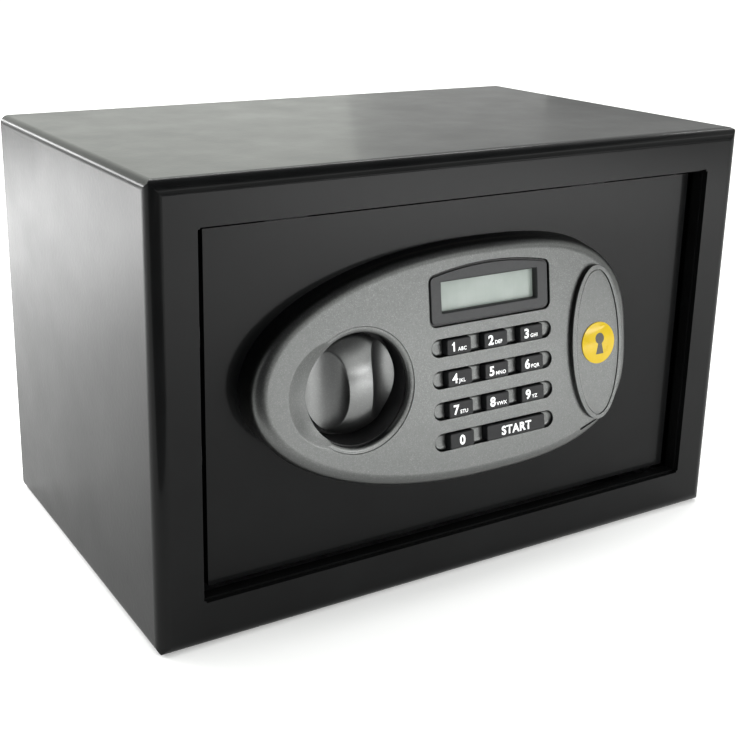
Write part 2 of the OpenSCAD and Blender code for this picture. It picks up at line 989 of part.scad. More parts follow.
module knob() {
    color(silver_paint)
        upright(knob_x, knob_back, knob_z)
            rotate(grip_lean)
                difference() {
                    intersection() {
                        cylinder(r = knob_r, h = knob_h);
                        translate([0, 0, knob_h - knob_dome])
                            sphere(r = knob_dome, $fn = 128);
                    }
                    for (side = [-1, 1])
                        translate([side * scoop_x, 0, knob_h + scoop_rise])
                            rotate([90, 0, 0])
                                cylinder(r = scoop_r, h = 3 * knob_r, center = true, $fn = 128);
                }
}

cam_front = plate_front + plate_t + 1;
cam_t = 3;
cam_pin_z = knob_z + cam_r * cos(cam_angle);
screw_l = 7;

module knob_spindle() {
    color(plain_steel)
        upright(knob_x, cam_front + cam_t, knob_z)
            difference() {
                cylinder(r = spindle_r, h = cam_front + cam_t - knob_back);
                translate([0, 0, -over])
                    cylinder(r = 1.5, h = screw_l + over);
            }
}

module cam_disc() {
    color(plain_steel)
        difference() {
            upright(knob_x, cam_front + cam_t, knob_z)
                cylinder(r = cam_r + 5, h = cam_t);
            upright(knob_x, cam_front + cam_t + over, knob_z)
                cylinder(r = spindle_r, h = cam_t + 2 * over);
            upright(cam_pin_x, cam_front + cam_t + over, cam_pin_z)
                cylinder(r = cam_pin_r, h = cam_t + 2 * over);
        }
}

module cam_pin() {
    color(bright_steel)
        upright(cam_pin_x, cam_front + cam_t, cam_pin_z)
            cylinder(r = cam_pin_r, h = cam_t + plate_t + 1.2);
}

module spindle_screw() {
    color(bright_steel)
        screw_to_front(knob_x, cam_front + cam_t, knob_z, 1.5, screw_l, 6.5, 1.8);
}

module display_bezel() {
    color(bezel_grey)
        on_face(0, 0, bezel_t + 0.2)
            linear_extrude(bezel_t)
                difference() {
                    display_outline(-0.35);
                    translate([lcd_x, lcd_s])
                        square([lcd_w, lcd_h], center = true);
                }
}

module display_panel() {
    color(lcd_green)
        on_face(lcd_x, lcd_s, bezel_t + 0.3 + 2)
            linear_extrude(2)
                square([lcd_w + 6, lcd_h + 4], center = true);
}

module keypad_mat() {
    color(dark_plastic)
        on_face(keypad_x, row_s(1.5), mat_depth + mat_t)
            linear_extrude(mat_t)
                square([slot_w - 4, 4 * key_pitch_s - 3], center = true);
}

module keypad_board() {
    color(board_green)
        on_face(keypad_x, 5, board_depth + board_t)
            linear_extrude(board_t)
                square([slot_w, 78], center = true);
}

module key(row, column) {
    w = key_span(row, column);
    bottom = lip_depth + lip_t;
    color(key_black) {
        on_face(key_place(row, column), row_s(row), bottom)
            linear_extrude(bottom + key_proud)
                round_rect(w, key_h, 1);
        on_face(key_place(row, column), row_s(row), bottom)
            linear_extrude(lip_t)
                round_rect(w + 2 * key_lip, key_h + 2 * key_lip, 1);
    }
}

module lock_housing() {
    color(plain_steel)
        difference() {
            union() {
                upright(lock_x, lock_rear, lock_z)
                    cylinder(r = lock_r, h = lock_rear - lock_front);
                upright(lock_x, lock_front + 1.5, lock_z)
                    cylinder(r = lock_r + 1, h = 1.5);
            }
            upright(lock_x, lock_rear + over, lock_z)
                cylinder(r = plug_r + running, h = lock_rear - lock_front + 2 * over);
        }
}

module lock_nut() {
    color(bright_steel)
        difference() {
            upright(lock_x, door_back + 4, lock_z)
                cylinder(r = lock_r + 3.6, h = 4, $fn = 6);
            upright(lock_x, door_back + 4 + over, lock_z)
                cylinder(r = lock_r, h = 4 + 2 * over);
        }
}

module lock_plug() {
    color(brass)
        difference() {
            upright(lock_x, lock_rear + 1, lock_z)
                cylinder(r = plug_r, h = lock_rear + 1 - lock_front);
            block([lock_x - 1, lock_front - over, lock_z - 4], [lock_x + 1, lock_front + 8, lock_z + 4]);
        }
}

module lock_cam() {
    color(plain_steel)
        upright(lock_x, lock_rear + 3, lock_z)
            linear_extrude(2) {
                circle(plug_r);
                translate([-3.5, 0])
                    square([7, 15]);
            }
}

function ellipse_points(w, h) = [for (i = [0:95]) [w / 2 * cos(i * 3.75), h / 2 * sin(i * 3.75)]];

module override_cover() {
    edge = 0.6;
    color(silver_paint) {
        on_face(oval_x, oval_s, -cover_lift)
            linear_extrude(oval_t - edge)
                polygon(ellipse_points(oval_w, oval_h));
        on_face(oval_x, oval_s, -cover_lift - oval_t + edge)
            linear_extrude(edge)
                polygon(ellipse_points(oval_w - 2 * edge, oval_h - 2 * edge));
    }
}

module cover_badge() {
    ball = 46;
    rise = ball - sqrt(ball * ball - badge_r * badge_r);
    color(badge_yellow)
        on_face(oval_x, oval_s, -cover_lift - oval_t)
            rotate_extrude()
                intersection() {
                    square([badge_r, rise + 0.4]);
                    translate([0, rise + 0.4 - ball])
                        circle(ball, $fn = 256);
                }
}

// ---------- bolt work ----------

// Width of the upright slot in which the cam pin slides
pin_slot_w = 2 * cam_pin_r + 1.2;

module bolt_carriage() {
    flange_back = bolt_y + bolt_r;
    tail_x = plunger_x - plunger_r;
    color(plain_steel)
        difference() {
            union() {
                block([plate_left, plate_front, plate_low], [plate_right, plate_front + plate_t, plate_high]);
                block([plate_left, plate_front, knob_z - bolt_offset - 9],
                      [plate_left + 9, plate_front + plate_t, knob_z + bolt_offset + 9]);
                block([plate_left, plate_front, knob_z - bolt_offset - 9],
                      [plate_left + flange_t, flange_back, knob_z + bolt_offset + 9]);
                upright(0, plate_front + tail_depth, 0)
                    linear_extrude(tail_depth)
                        polygon([
                            [tail_x - 2.4, plate_low],
                            [tail_x - 2.4, plunger_tip - 0.4],
                            [tail_x, plunger_tip - 0.4],
                            [tail_x + throw, plunger_tip - 0.4 - plunger_drop],
                            [tail_x + throw, plate_low]
                        ]);
            }
            // Slot that clears the spindle
            upright(knob_x + throw / 2, plate_front + plate_t + over, knob_z)
                linear_extrude(plate_t + 2 * over)
                    stadium(throw + 2 * spindle_r + 1, 2 * spindle_r + 1);
            // Upright slot for the cam pin
            upright(cam_pin_x, plate_front + plate_t + over, knob_z + cam_r - pin_rise / 2)
                linear_extrude(plate_t + 2 * over)
                    rotate(90)
                        stadium(pin_rise + pin_slot_w + 0.4, pin_slot_w);
            // Slots for the guide studs
            for (x = stud_xs)
                upright(x + throw / 2, plate_front + plate_t + over, stud_z)
                    linear_extrude(plate_t + 2 * over)
                        stadium(throw + 2 * (stud_r + slip), 2 * (stud_r + slip));
            // Holes for the bolt screws
            for (side = [-1, 1])
                translate([plate_left - over, bolt_y, knob_z + side * bolt_offset])
                    rotate([0, 90, 0])
                        cylinder(r = 2.2, h = flange_t + 2 * over);
        }
}

module locking_bolts() {
    color(bright_steel)
        for (side = [-1, 1])
            translate([bolt_tip, bolt_y, knob_z + side * bolt_offset])
                rotate([0, 90, 0])
                    difference() {
                        union() {
                            translate([0, 0, 1])
                                cylinder(r = bolt_r, h = plate_left - bolt_tip - 1);
                            cylinder(r1 = bolt_r - 1, r2 = bolt_r, h = 1);
                        }
                        translate([0, 0, plate_left - bolt_tip - 10])
                            cylinder(r = 2, h = 10 + over);
                    }
}

module bolt_screws() {
    color(bright_steel)
        for (side = [-1, 1])
            translate([plate_left, bolt_y, knob_z + side * bolt_offset])
                rotate([0, 90, 0]) {
                    translate([0, 0, -9])
                        cylinder(r = 2, h = flange_t + 9);
                    translate([0, 0, flange_t])
                        cylinder(r = 4, h = 2.5);
                }
}

cabinet_shell();
back_panel();
hinge_brackets();
bolt_keeper();
door_stops();
floor_mat();
door_plate();
hinge_lugs();
hinge_pins();
bolt_guide();
guide_studs();
spindle_bush();
cable_grommet();
inner_cover();
cover_screws();
battery_box();
batteries();
battery_contacts();
battery_cover();
control_board();
board_posts();
wiring_harness();
reset_button();
solenoid_frame();
solenoid_coil();
solenoid_plunger();
plunger_spring();
escutcheon();
escutcheon_screws();
knob_cup();
knob();
knob_spindle();
cam_disc();
cam_pin();
spindle_screw();
display_bezel();
display_panel();
keypad_mat();
keypad_board();
key(0, 0);  // key_1
key(0, 1);  // key_2
key(0, 2);  // key_3
key(1, 0);  // key_4
key(1, 1);  // key_5
key(1, 2);  // key_6
key(2, 0);  // key_7
key(2, 1);  // key_8
key(2, 2);  // key_9
key(3, 0);  // key_0
key(3, 1);  // key_start
lock_housing();
lock_nut();
lock_plug();
lock_cam();
override_cover();
cover_badge();
bolt_carriage();
locking_bolts();
bolt_screws();
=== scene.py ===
"""Looks for the in room safe.

The cabinet, door and lock work keep their CAD meshes and get materials and soft edges. The control panel,
knob, keys, display, oval cover and badge are rebuilt as finer meshes that stand where the CAD says.
The scene is in metres. Outlines, insets and heights of the rebuilt pieces are in millimetres.
"""

import json
from math import cos, pi, radians, sin, sqrt, tan

import bmesh
import bpy
from mathutils import Matrix, Vector


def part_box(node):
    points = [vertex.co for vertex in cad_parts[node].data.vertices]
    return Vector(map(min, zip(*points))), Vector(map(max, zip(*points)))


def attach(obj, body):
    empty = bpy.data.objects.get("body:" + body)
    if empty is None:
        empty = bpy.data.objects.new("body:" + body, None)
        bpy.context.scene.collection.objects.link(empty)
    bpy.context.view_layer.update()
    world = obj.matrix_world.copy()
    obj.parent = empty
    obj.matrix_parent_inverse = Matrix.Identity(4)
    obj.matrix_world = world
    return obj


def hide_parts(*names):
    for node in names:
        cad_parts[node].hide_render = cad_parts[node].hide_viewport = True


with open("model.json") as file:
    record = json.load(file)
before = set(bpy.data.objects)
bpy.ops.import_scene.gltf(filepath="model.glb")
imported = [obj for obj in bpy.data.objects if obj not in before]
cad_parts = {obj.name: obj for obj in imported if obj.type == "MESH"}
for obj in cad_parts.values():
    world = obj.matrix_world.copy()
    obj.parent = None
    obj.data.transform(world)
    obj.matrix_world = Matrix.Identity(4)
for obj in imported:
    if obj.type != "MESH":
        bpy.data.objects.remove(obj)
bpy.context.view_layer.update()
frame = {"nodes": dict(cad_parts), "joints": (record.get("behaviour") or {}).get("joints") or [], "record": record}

MM = 0.001
NODES = frame["nodes"]
JOINTS = {joint["name"]: joint for joint in frame["joints"]}
SLOT_OF = {part["node"]: part["material_slot"] for part in frame["record"]["subparts"]}
BODY_OF = {node: body for body, nodes in frame["record"]["behaviour"]["bodies"].items() for node in nodes}

# ---------- frames of the control panel and of the knob ----------

# A key's travel is square to the panel's face, so it gives the face's tilt
INWARD = Vector(JOINTS["key_5_press"]["axis"]).normalized()
ACROSS = Vector((1, 0, 0))
UPWARD = ACROSS.cross(INWARD)
OUTWARD = -INWARD


def place(across, up, out, origin):
    """A matrix that takes millimetres along three directions from an origin to metres in the row frame."""
    matrix = Matrix((across, up, out)).transposed().to_4x4() @ Matrix.Scale(MM, 4)
    matrix.translation = origin
    return matrix


face_height = max(OUTWARD.dot(vertex.co) for vertex in NODES["escutcheon"].data.vertices)
FACE = place(ACROSS, UPWARD, OUTWARD, OUTWARD * face_height)

# The knob's frame: its axis points out of the door, and its origin is the crest of its dome
knob_low, knob_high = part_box("knob")
knob_axis = Vector(JOINTS["knob_turn"]["pos_m"])
TO_FRONT = Vector((0, -1, 0))
TO_TOP = Vector((0, 0, 1))
KNOB = place(ACROSS, TO_TOP, TO_FRONT, Vector((knob_axis.x, knob_low.y, knob_axis.z)))


def extent(points):
    """The lowest and highest corner of some points."""
    return [Vector(pick(values) for values in zip(*points)) for pick in (min, max)]


def face_points(node):
    """A CAD node's vertices in the face's frame."""
    to_face = FACE.inverted()
    return [to_face @ vertex.co for vertex in NODES[node].data.vertices]


def face_box(node):
    return extent(face_points(node))


def middle(box):
    return (box[0] + box[1]) / 2


# ---------- outlines, in millimetres ----------


def ellipse(centre, reach_x, reach_y, count=128):
    turns = [2 * pi * i / count for i in range(count)]
    return [(centre[0] + reach_x * cos(a), centre[1] + reach_y * sin(a)) for a in turns]


def rectangle(centre, width, height):
    x, y = centre[0], centre[1]
    corners = ((1, 1), (-1, 1), (-1, -1), (1, -1))
    return [(x + side * width / 2, y + level * height / 2) for side, level in corners]


def rounded(corners, radius, steps=6):
    """An outline that runs anticlockwise through arcs in place of its corners."""
    points = [Vector(corner) for corner in corners]
    outline = []
    for i, corner in enumerate(points):
        back = (points[i - 1] - corner).normalized()
        ahead = (points[(i + 1) % len(points)] - corner).normalized()
        half = back.angle(ahead) / 2
        centre = corner + (back + ahead).normalized() * radius / sin(half)
        start = corner + back * radius / tan(half) - centre
        sweep = pi - 2 * half
        for step in range(steps + 1):
            arm = start.copy()
            arm.rotate(Matrix.Rotation(sweep * step / steps, 2))
            outline.append(tuple(centre + arm))
    return outline


def soft_rectangle(centre, width, height, radius):
    """A rectangle's outline as a function of how far it is drawn in all round."""

    def outline(inset):
        corners = rectangle(centre, width - 2 * inset, height - 2 * inset)
        return rounded(corners, max(radius - inset, 0.05))

    return outline


def soft_ellipse(centre, reach_x, reach_y):
    return lambda inset: ellipse(centre, reach_x - inset, reach_y - inset)


# ---------- profiles, as pairs of inset and height in millimetres ----------


def rounded_top(low, high, radius, steps=5):
    """A straight side from low to high whose top edge is rounded."""
    turns = [pi / 2 * i / steps for i in range(steps + 1)]
    arc = [(radius * (1 - cos(a)), high - radius + radius * sin(a)) for a in turns]
    return [(0, low)] + arc


def pocket(depth, lip, corner, steps=4):
    """A hollow cut into a face at height 0, with a rounded lip and a rounded inner corner."""
    turns = [pi / 2 * i / steps for i in range(steps + 1)]
    lip_arc = [(-lip * (1 - sin(a)), -lip * (1 - cos(a))) for a in turns]
    corner_arc = [(corner * (1 - cos(a)), corner - depth - corner * sin(a)) for a in turns]
    return [(-lip, 1)] + lip_arc + corner_arc


# ---------- meshes ----------


def stack(outline, profile, matrix=FACE):
    """Rings of points, one for each pair of the profile."""
    return [[matrix @ Vector((x, y, height)) for x, y in outline(inset)] for inset, height in profile]


def loft(rings):
    """Vertices and faces of the closed skin over a stack of rings of equal length."""
    count = len(rings[0])
    vertices = [point for ring in rings for point in ring]
    faces = [tuple(range(count))[::-1]]
    for level in range(len(rings) - 1):
        low = level * count
        for i in range(count):
            ahead = (i + 1) % count
            faces.append((low + i, low + ahead, low + count + ahead, low + count + i))
    last = (len(rings) - 1) * count
    faces.append(tuple(range(last, last + count)))
    return vertices, faces


def new_mesh(name, vertices, faces):
    mesh = bpy.data.meshes.new(name)
    mesh.from_pydata(vertices, [], faces)
    work = bmesh.new()
    work.from_mesh(mesh)
    bmesh.ops.remove_doubles(work, verts=work.verts, dist=1e-7)
    bmesh.ops.recalc_face_normals(work, faces=work.faces)
    work.to_mesh(mesh)
    work.free()
    return mesh


def new_object(name, mesh):
    thing = bpy.data.objects.new(name, mesh)
    bpy.context.scene.collection.objects.link(thing)
    return thing


def cutter(outline, profile, matrix=FACE):
    return new_object("cutter", new_mesh("cutter", *loft(stack(outline, profile, matrix))))


def carve(thing, cutters):
    """Cuts each cutter out of a thing and removes the cutters."""
    for tool in cutters:
        cut = thing.modifiers.new("cut", "BOOLEAN")
        cut.operation = "DIFFERENCE"
        cut.solver = "EXACT"
        cut.object = tool
    shaped = thing.evaluated_get(bpy.context.evaluated_depsgraph_get())
    mesh = bpy.data.meshes.new_from_object(shaped)
    thing.modifiers.clear()
    thing.data = mesh
    for tool in cutters:
        bpy.data.objects.remove(tool)


def smooth(thing, angle=32):
    """Smooth shading that keeps the edges sharper than an angle."""
    mesh = thing.data
    mesh.polygons.foreach_set("use_smooth", [True] * len(mesh.polygons))
    mesh.set_sharp_from_angle(angle=radians(angle))
    even = thing.modifiers.new("even shading", "WEIGHTED_NORMAL")
    even.keep_sharp = True


def finish_piece(thing, material, node, stands_for=()):
    """Gives a piece its material, smooth shading and its body, and hides the CAD nodes it stands for."""
    thing.data.materials.clear()
    thing.data.materials.append(material)
    smooth(thing)
    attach(thing, BODY_OF[node])
    if stands_for:
        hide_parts(*stands_for)
    return thing


# ---------- materials ----------


def node_of(tree, kind, **values):
    made = tree.nodes.new(kind)
    for key, value in values.items():
        setattr(made, key, value)
    return made


def noise_of(tree, coordinates, scale, detail=3.0, roughness=0.55):
    noise = node_of(tree, "ShaderNodeTexNoise")
    noise.inputs["Scale"].default_value = scale
    noise.inputs["Detail"].default_value = detail
    noise.inputs["Roughness"].default_value = roughness
    tree.links.new(coordinates, noise.inputs["Vector"])
    return noise.outputs["Fac"]


def spread(tree, value, low, high, start=0.3, end=0.7):
    """A pattern's values from start to end, mapped to low to high."""
    mapped = node_of(tree, "ShaderNodeMapRange")
    for name, number in (("From Min", start), ("From Max", end), ("To Min", low), ("To Max", high)):
        mapped.inputs[name].default_value = number
    tree.links.new(value, mapped.inputs["Value"])
    return mapped.outputs["Result"]


def mixed(tree, factor, first, second):
    """Two colours mixed by a factor. Each colour is three numbers or a socket."""
    mix = node_of(tree, "ShaderNodeMix", data_type="RGBA")
    tree.links.new(factor, mix.inputs["Factor"])
    for name, colour in (("A", first), ("B", second)):
        socket = next(s for s in mix.inputs if s.name == name and s.type == "RGBA")
        if isinstance(colour, (tuple, list)):
            socket.default_value = (*colour, 1)
        else:
            tree.links.new(colour, socket)
    return next(s for s in mix.outputs if s.type == "RGBA")


def surface(name, dark, light, grain, rough, relief, relief_grain, stretch=(1, 1, 1), **sockets):
    """A material whose colour, roughness and relief each follow a noise pattern.

    dark and light are the ends of its colour, grain the patches to a metre, rough the ends of its
    roughness, relief the height of its fine texture in metres and relief_grain that texture's grain.
    """
    material = bpy.data.materials.new(name)
    material.use_nodes = True
    tree = material.node_tree
    shader = tree.nodes["Principled BSDF"]
    position = node_of(tree, "ShaderNodeTexCoord").outputs["Object"]
    mapping = node_of(tree, "ShaderNodeMapping")
    mapping.inputs["Scale"].default_value = stretch
    tree.links.new(position, mapping.inputs["Vector"])
    patches = noise_of(tree, mapping.outputs["Vector"], grain)
    fine = noise_of(tree, mapping.outputs["Vector"], relief_grain, 2.0)
    tree.links.new(mixed(tree, spread(tree, patches, 0, 1), dark, light), shader.inputs["Base Color"])
    tree.links.new(spread(tree, patches, *rough), shader.inputs["Roughness"])
    bump = node_of(tree, "ShaderNodeBump")
    bump.inputs["Distance"].default_value = relief
    tree.links.new(fine, bump.inputs["Height"])
    tree.links.new(bump.outputs["Normal"], shader.inputs["Normal"])
    for socket, value in sockets.items():
        shader.inputs[socket.replace("_", " ")].default_value = value
    return material


def tint(material, pattern_of, colour, start, end):
    """Lays a further colour over a material where a pattern of its object coordinates is strong."""
    tree = material.node_tree
    shader = tree.nodes["Principled BSDF"]
    below = shader.inputs["Base Color"].links[0].from_socket
    position = next(n for n in tree.nodes if n.type == "TEX_COORD").outputs["Object"]
    strength = spread(tree, pattern_of(tree, position), 0, 1, start, end)
    tree.links.new(mixed(tree, strength, below, colour), shader.inputs["Base Color"])
    return material


def along(axis):
    """A pattern that rises along one axis, in metres."""

    def pattern(tree, position):
        split = node_of(tree, "ShaderNodeSeparateXYZ")
        tree.links.new(position, split.inputs["Vector"])
        return split.outputs[axis]

    return pattern


def speckles(scale):
    """Fine flakes, as many to a metre as the scale says."""

    def pattern(tree, position):
        flakes = node_of(tree, "ShaderNodeTexVoronoi")
        flakes.inputs["Scale"].default_value = scale
        tree.links.new(position, flakes.inputs["Vector"])
        split = node_of(tree, "ShaderNodeSeparateColor")
        tree.links.new(flakes.outputs["Color"], split.inputs["Color"])
        return split.outputs["Red"]

    return pattern


def stripes(axis, scale, bend=0.0):
    """Even bands across one axis, as many to a metre as the scale says."""

    def pattern(tree, position):
        bands = node_of(tree, "ShaderNodeTexWave", bands_direction=axis)
        bands.inputs["Scale"].default_value = scale
        bands.inputs["Distortion"].default_value = bend
        tree.links.new(position, bands.inputs["Vector"])
        return bands.outputs["Fac"]

    return pattern


def black_coat():
    """Glossy black powder coat with an orange-peel skin and a clear top layer."""
    return surface(
        "black powder coat",
        (0.0020, 0.0021, 0.0022),
        (0.0032, 0.0034, 0.0035),
        grain=35,
        rough=(0.30, 0.36),
        relief=0.00004,
        relief_grain=420,
        Specular_IOR_Level=0.055,
        Coat_Weight=0.14,
        Coat_Roughness=0.10,
    )


def silver_paint():
    """Satin silver-grey paint with metal flakes."""
    paint = surface(
        "silver paint",
        (0.090, 0.0925, 0.0905),
        (0.106, 0.1085, 0.1065),
        grain=900,
        rough=(0.30, 0.37),
        relief=0.000008,
        relief_grain=2600,
        Metallic=1.0,
    )
    return tint(paint, speckles(3200), (0.140, 0.143, 0.140), 0.75, 1.0)


def knob_paint_lit():
    """The silver paint over a smoother moulding, made brighter as painted light on the knob."""
    paint = surface(
        "knob paint lit",
        (0.158, 0.161, 0.159),
        (0.170, 0.173, 0.171),
        grain=900,
        rough=(0.30, 0.33),
        relief=0.000001,
        relief_grain=2600,
        Metallic=1.0,
    )
    return tint(paint, speckles(3200), (0.195, 0.199, 0.196), 0.75, 1.0)


def dark_plastic():
    return surface(
        "dark plastic",
        (0.007, 0.007, 0.0075),
        (0.012, 0.012, 0.013),
        grain=260,
        rough=(0.45, 0.60),
        relief=0.00002,
        relief_grain=2200,
    )


def bezel_plastic():
    return surface(
        "bezel plastic",
        (0.010, 0.0105, 0.0115),
        (0.016, 0.0165, 0.0175),
        grain=500,
        rough=(0.36, 0.48),
        relief=0.00001,
        relief_grain=3000,
        Specular_IOR_Level=0.38,
    )


def key_rubber():
    """Charcoal silicone rubber, a little paler where fingers have polished it."""
    return surface(
        "key rubber",
        (0.0045, 0.0048, 0.0054),
        (0.0080, 0.0084, 0.0092),
        grain=180,
        rough=(0.30, 0.42),
        relief=0.000012,
        relief_grain=2800,
        Specular_IOR_Level=0.20,
    )


def white_ink():
    return surface(
        "white ink",
        (0.74, 0.75, 0.76),
        (0.90, 0.90, 0.90),
        grain=1500,
        rough=(0.45, 0.60),
        relief=0.000005,
        relief_grain=4000,
    )


def display_glass():
    """A reflective liquid crystal panel: pale grey-green with rows of faint cells."""
    glass = surface(
        "display glass",
        (0.230, 0.264, 0.242),
        (0.262, 0.296, 0.274),
        grain=60,
        rough=(0.18, 0.26),
        relief=0.000004,
        relief_grain=1800,
        Coat_Weight=0.4,
        Coat_Roughness=0.08,
    )
    return tint(glass, stripes("X", 60), (0.226, 0.256, 0.238), 0.9, 1.6)


def badge_resin():
    return surface(
        "yellow resin",
        (0.435, 0.298, 0.001),
        (0.480, 0.335, 0.002),
        grain=120,
        rough=(0.26, 0.34),
        relief=0.000004,
        relief_grain=900,
        Specular_IOR_Level=0.15,
        Coat_Weight=0.25,
        Coat_Roughness=0.06,
    )


def badge_ink():
    return surface(
        "badge ink",
        (0.020, 0.018, 0.014),
        (0.035, 0.032, 0.026),
        grain=900,
        rough=(0.30, 0.42),
        relief=0.000004,
        relief_grain=3000,
    )


def plated_steel():
    """Zinc-plated pressed steel with the crystal mottling of its plating."""
    plate = surface(
        "plated steel",
        (0.28, 0.285, 0.30),
        (0.40, 0.405, 0.42),
        grain=140,
        rough=(0.28, 0.46),
        relief=0.000012,
        relief_grain=1500,
        Metallic=1.0,
    )
    return tint(plate, speckles(260), (0.46, 0.465, 0.475), 0.6, 1.2)


def bright_steel():
    """Turned bright steel with fine lines round it."""
    return surface(
        "bright steel",
        (0.36, 0.365, 0.37),
        (0.50, 0.505, 0.51),
        grain=300,
        rough=(0.16, 0.28),
        relief=0.000006,
        relief_grain=2400,
        stretch=(3, 3, 0.4),
        Metallic=1.0,
    )


def brass():
    return surface(
        "brass",
        (0.60, 0.43, 0.17),
        (0.78, 0.60, 0.28),
        grain=220,
        rough=(0.22, 0.36),
        relief=0.000008,
        relief_grain=2000,
        Metallic=1.0,
    )


def circuit_board():
    """Green solder mask with paler copper tracks showing through."""
    board = surface(
        "circuit board",
        (0.012, 0.075, 0.032),
        (0.020, 0.115, 0.050),
        grain=90,
        rough=(0.25, 0.38),
        relief=0.00002,
        relief_grain=700,
        Coat_Weight=0.4,
        Coat_Roughness=0.2,
    )
    return tint(board, stripes("X", 110, 6), (0.05, 0.22, 0.09), 0.75, 0.95)


def coil_wrap():
    """Amber tape over the copper winding."""
    wrap = surface(
        "coil wrap",
        (0.30, 0.12, 0.035),
        (0.46, 0.21, 0.070),
        grain=160,
        rough=(0.28, 0.42),
        relief=0.00003,
        relief_grain=900,
        Coat_Weight=0.3,
    )
    return tint(wrap, stripes("Z", 500), (0.20, 0.08, 0.02), 0.4, 1.0)


def felt():
    """Needle felt with short loose fibres."""
    return surface(
        "felt",
        (0.022, 0.022, 0.025),
        (0.055, 0.055, 0.060),
        grain=1400,
        rough=(0.90, 1.0),
        relief=0.0003,
        relief_grain=2600,
        Sheen_Weight=0.35,
    )


def cell_jacket():
    """Blue battery jackets with a plain metal-coloured band at the right-hand third."""
    jacket = surface(
        "cell jacket",
        (0.020, 0.042, 0.13),
        (0.030, 0.060, 0.18),
        grain=200,
        rough=(0.22, 0.34),
        relief=0.000008,
        relief_grain=1200,
        Coat_Weight=0.6,
    )
    low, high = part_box("batteries")
    band_share, band_edge = 0.70, 0.0004
    band = low.x + (high.x - low.x) * band_share
    return tint(jacket, along("X"), (0.62, 0.46, 0.20), band, band + band_edge)


def red_plastic():
    return surface(
        "red plastic",
        (0.42, 0.016, 0.014),
        (0.56, 0.026, 0.022),
        grain=240,
        rough=(0.26, 0.38),
        relief=0.000008,
        relief_grain=1800,
    )


def red_wire():
    return surface(
        "red wire",
        (0.30, 0.014, 0.012),
        (0.44, 0.024, 0.020),
        grain=400,
        rough=(0.38, 0.50),
        relief=0.00001,
        relief_grain=1600,
    )


MATERIALS = {
    "black_coat": black_coat(),
    "silver_paint": silver_paint(),
    "dark_plastic": dark_plastic(),
    "bezel_plastic": bezel_plastic(),
    "display_glass": display_glass(),
    "key_rubber": key_rubber(),
    "badge_enamel": badge_resin(),
    "plated_steel": plated_steel(),
    "bright_steel": bright_steel(),
    "brass": brass(),
    "circuit_board": circuit_board(),
    "coil_wrap": coil_wrap(),
    "felt": felt(),
    "cell_jacket": cell_jacket(),
    "red_plastic": red_plastic(),
    "red_wire": red_wire(),
}
# The knob's copy of the silver paint is brighter as painted light on the knob
KNOB_PAINT_LIT = knob_paint_lit()
INK = white_ink()
BADGE_INK = badge_ink()

# ---------- CAD pieces that stay ----------

# Width of the softened edges, in millimetres
SOFT_EDGES = {
    "cabinet_shell": 0.4,
    "door_plate": 0.7,
    "inner_cover": 0.5,
    "battery_cover": 0.35,
    "battery_box": 0.3,
    "back_panel": 0.3,
    "hinge_brackets": 0.3,
    "bolt_keeper": 0.3,
    "bolt_guide": 0.3,
    "bolt_carriage": 0.3,
    "solenoid_frame": 0.25,
    "door_stops": 0.3,
    "hinge_lugs": 0.4,
    "floor_mat": 0.6,
}


def dress_cad_node(node, thing):
    """Gives a CAD object its material, softens its edges and evens its shading."""
    thing.data.materials.clear()
    thing.data.materials.append(MATERIALS[SLOT_OF[node]])
    if node in SOFT_EDGES:
        bevel = thing.modifiers.new("soft edges", "BEVEL")
        bevel.width = SOFT_EDGES[node] * MM
        bevel.segments = 3
        bevel.limit_method = "ANGLE"
        bevel.angle_limit = radians(40)
        bevel.harden_normals = True
    even = thing.modifiers.new("even shading", "WEIGHTED_NORMAL")
    even.keep_sharp = True


for node, thing in NODES.items():
    dress_cad_node(node, thing)

# ---------- control panel ----------

# Rounding round the panel's face, and how the two ends of its egg shape swell
PANEL_ROUND = 6.0
LEFT_POWER = 2.1
RIGHT_POWER = 2.9
PANEL_WALL = 2.2
BACK_DEPTH = 5.2
# How far the cavity's foot runs behind the door's face, so that the cut goes right through
CAVITY_OVERRUN = 0.5
# Vertices this near the door's face belong to the foot of the panel's wall
FOOTING_BAND = 0.05
WALL_RINGS = 6
# Vertices down to this far below the rounding still count as the rim
RIM_MARGIN = 0.5

rim_floor = -PANEL_ROUND - RIM_MARGIN
rim_low, rim_high = extent([p for p in face_points("escutcheon") if p.z > rim_floor])
PANEL_MID = (rim_low.y + rim_high.y) / 2
PANEL_HALF = (rim_high.y - rim_low.y) / 2


def egg(inset, steps=48):
    """The panel's outline: two half superellipses that meet above x = 0."""
    half = PANEL_HALF - inset
    outline = []
    for i in range(4 * steps):
        a = pi / 2 * i / steps
        side = cos(a)
        power = RIGHT_POWER if side > 0 else LEFT_POWER
        reach = (rim_high.x if side > 0 else -rim_low.x) - inset
        x = reach * abs(side) ** (2 / power) * (1 if side > 0 else -1)
        y = half * abs(sin(a)) ** (2 / power) * (1 if sin(a) > 0 else -1)
        outline.append((x, PANEL_MID + y))
    return outline


def egg_on_door(inset, overrun):
    """The same outline upright on the door's face, where the panel's wall stands, or overrun behind it."""
    door_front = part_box("door_plate")[0].y
    vertices = NODES["escutcheon"].data.vertices
    footing = [v.co.z for v in vertices if v.co.y > door_front - FOOTING_BAND * MM]
    middle_z = (max(footing) + min(footing)) / 2
    shorten = (max(footing) - min(footing)) / 2 / (PANEL_HALF * MM)
    return [
        Vector((x * MM, door_front + overrun * MM, middle_z + (y - PANEL_MID) * shorten * MM))
        for x, y in egg(inset)
    ]


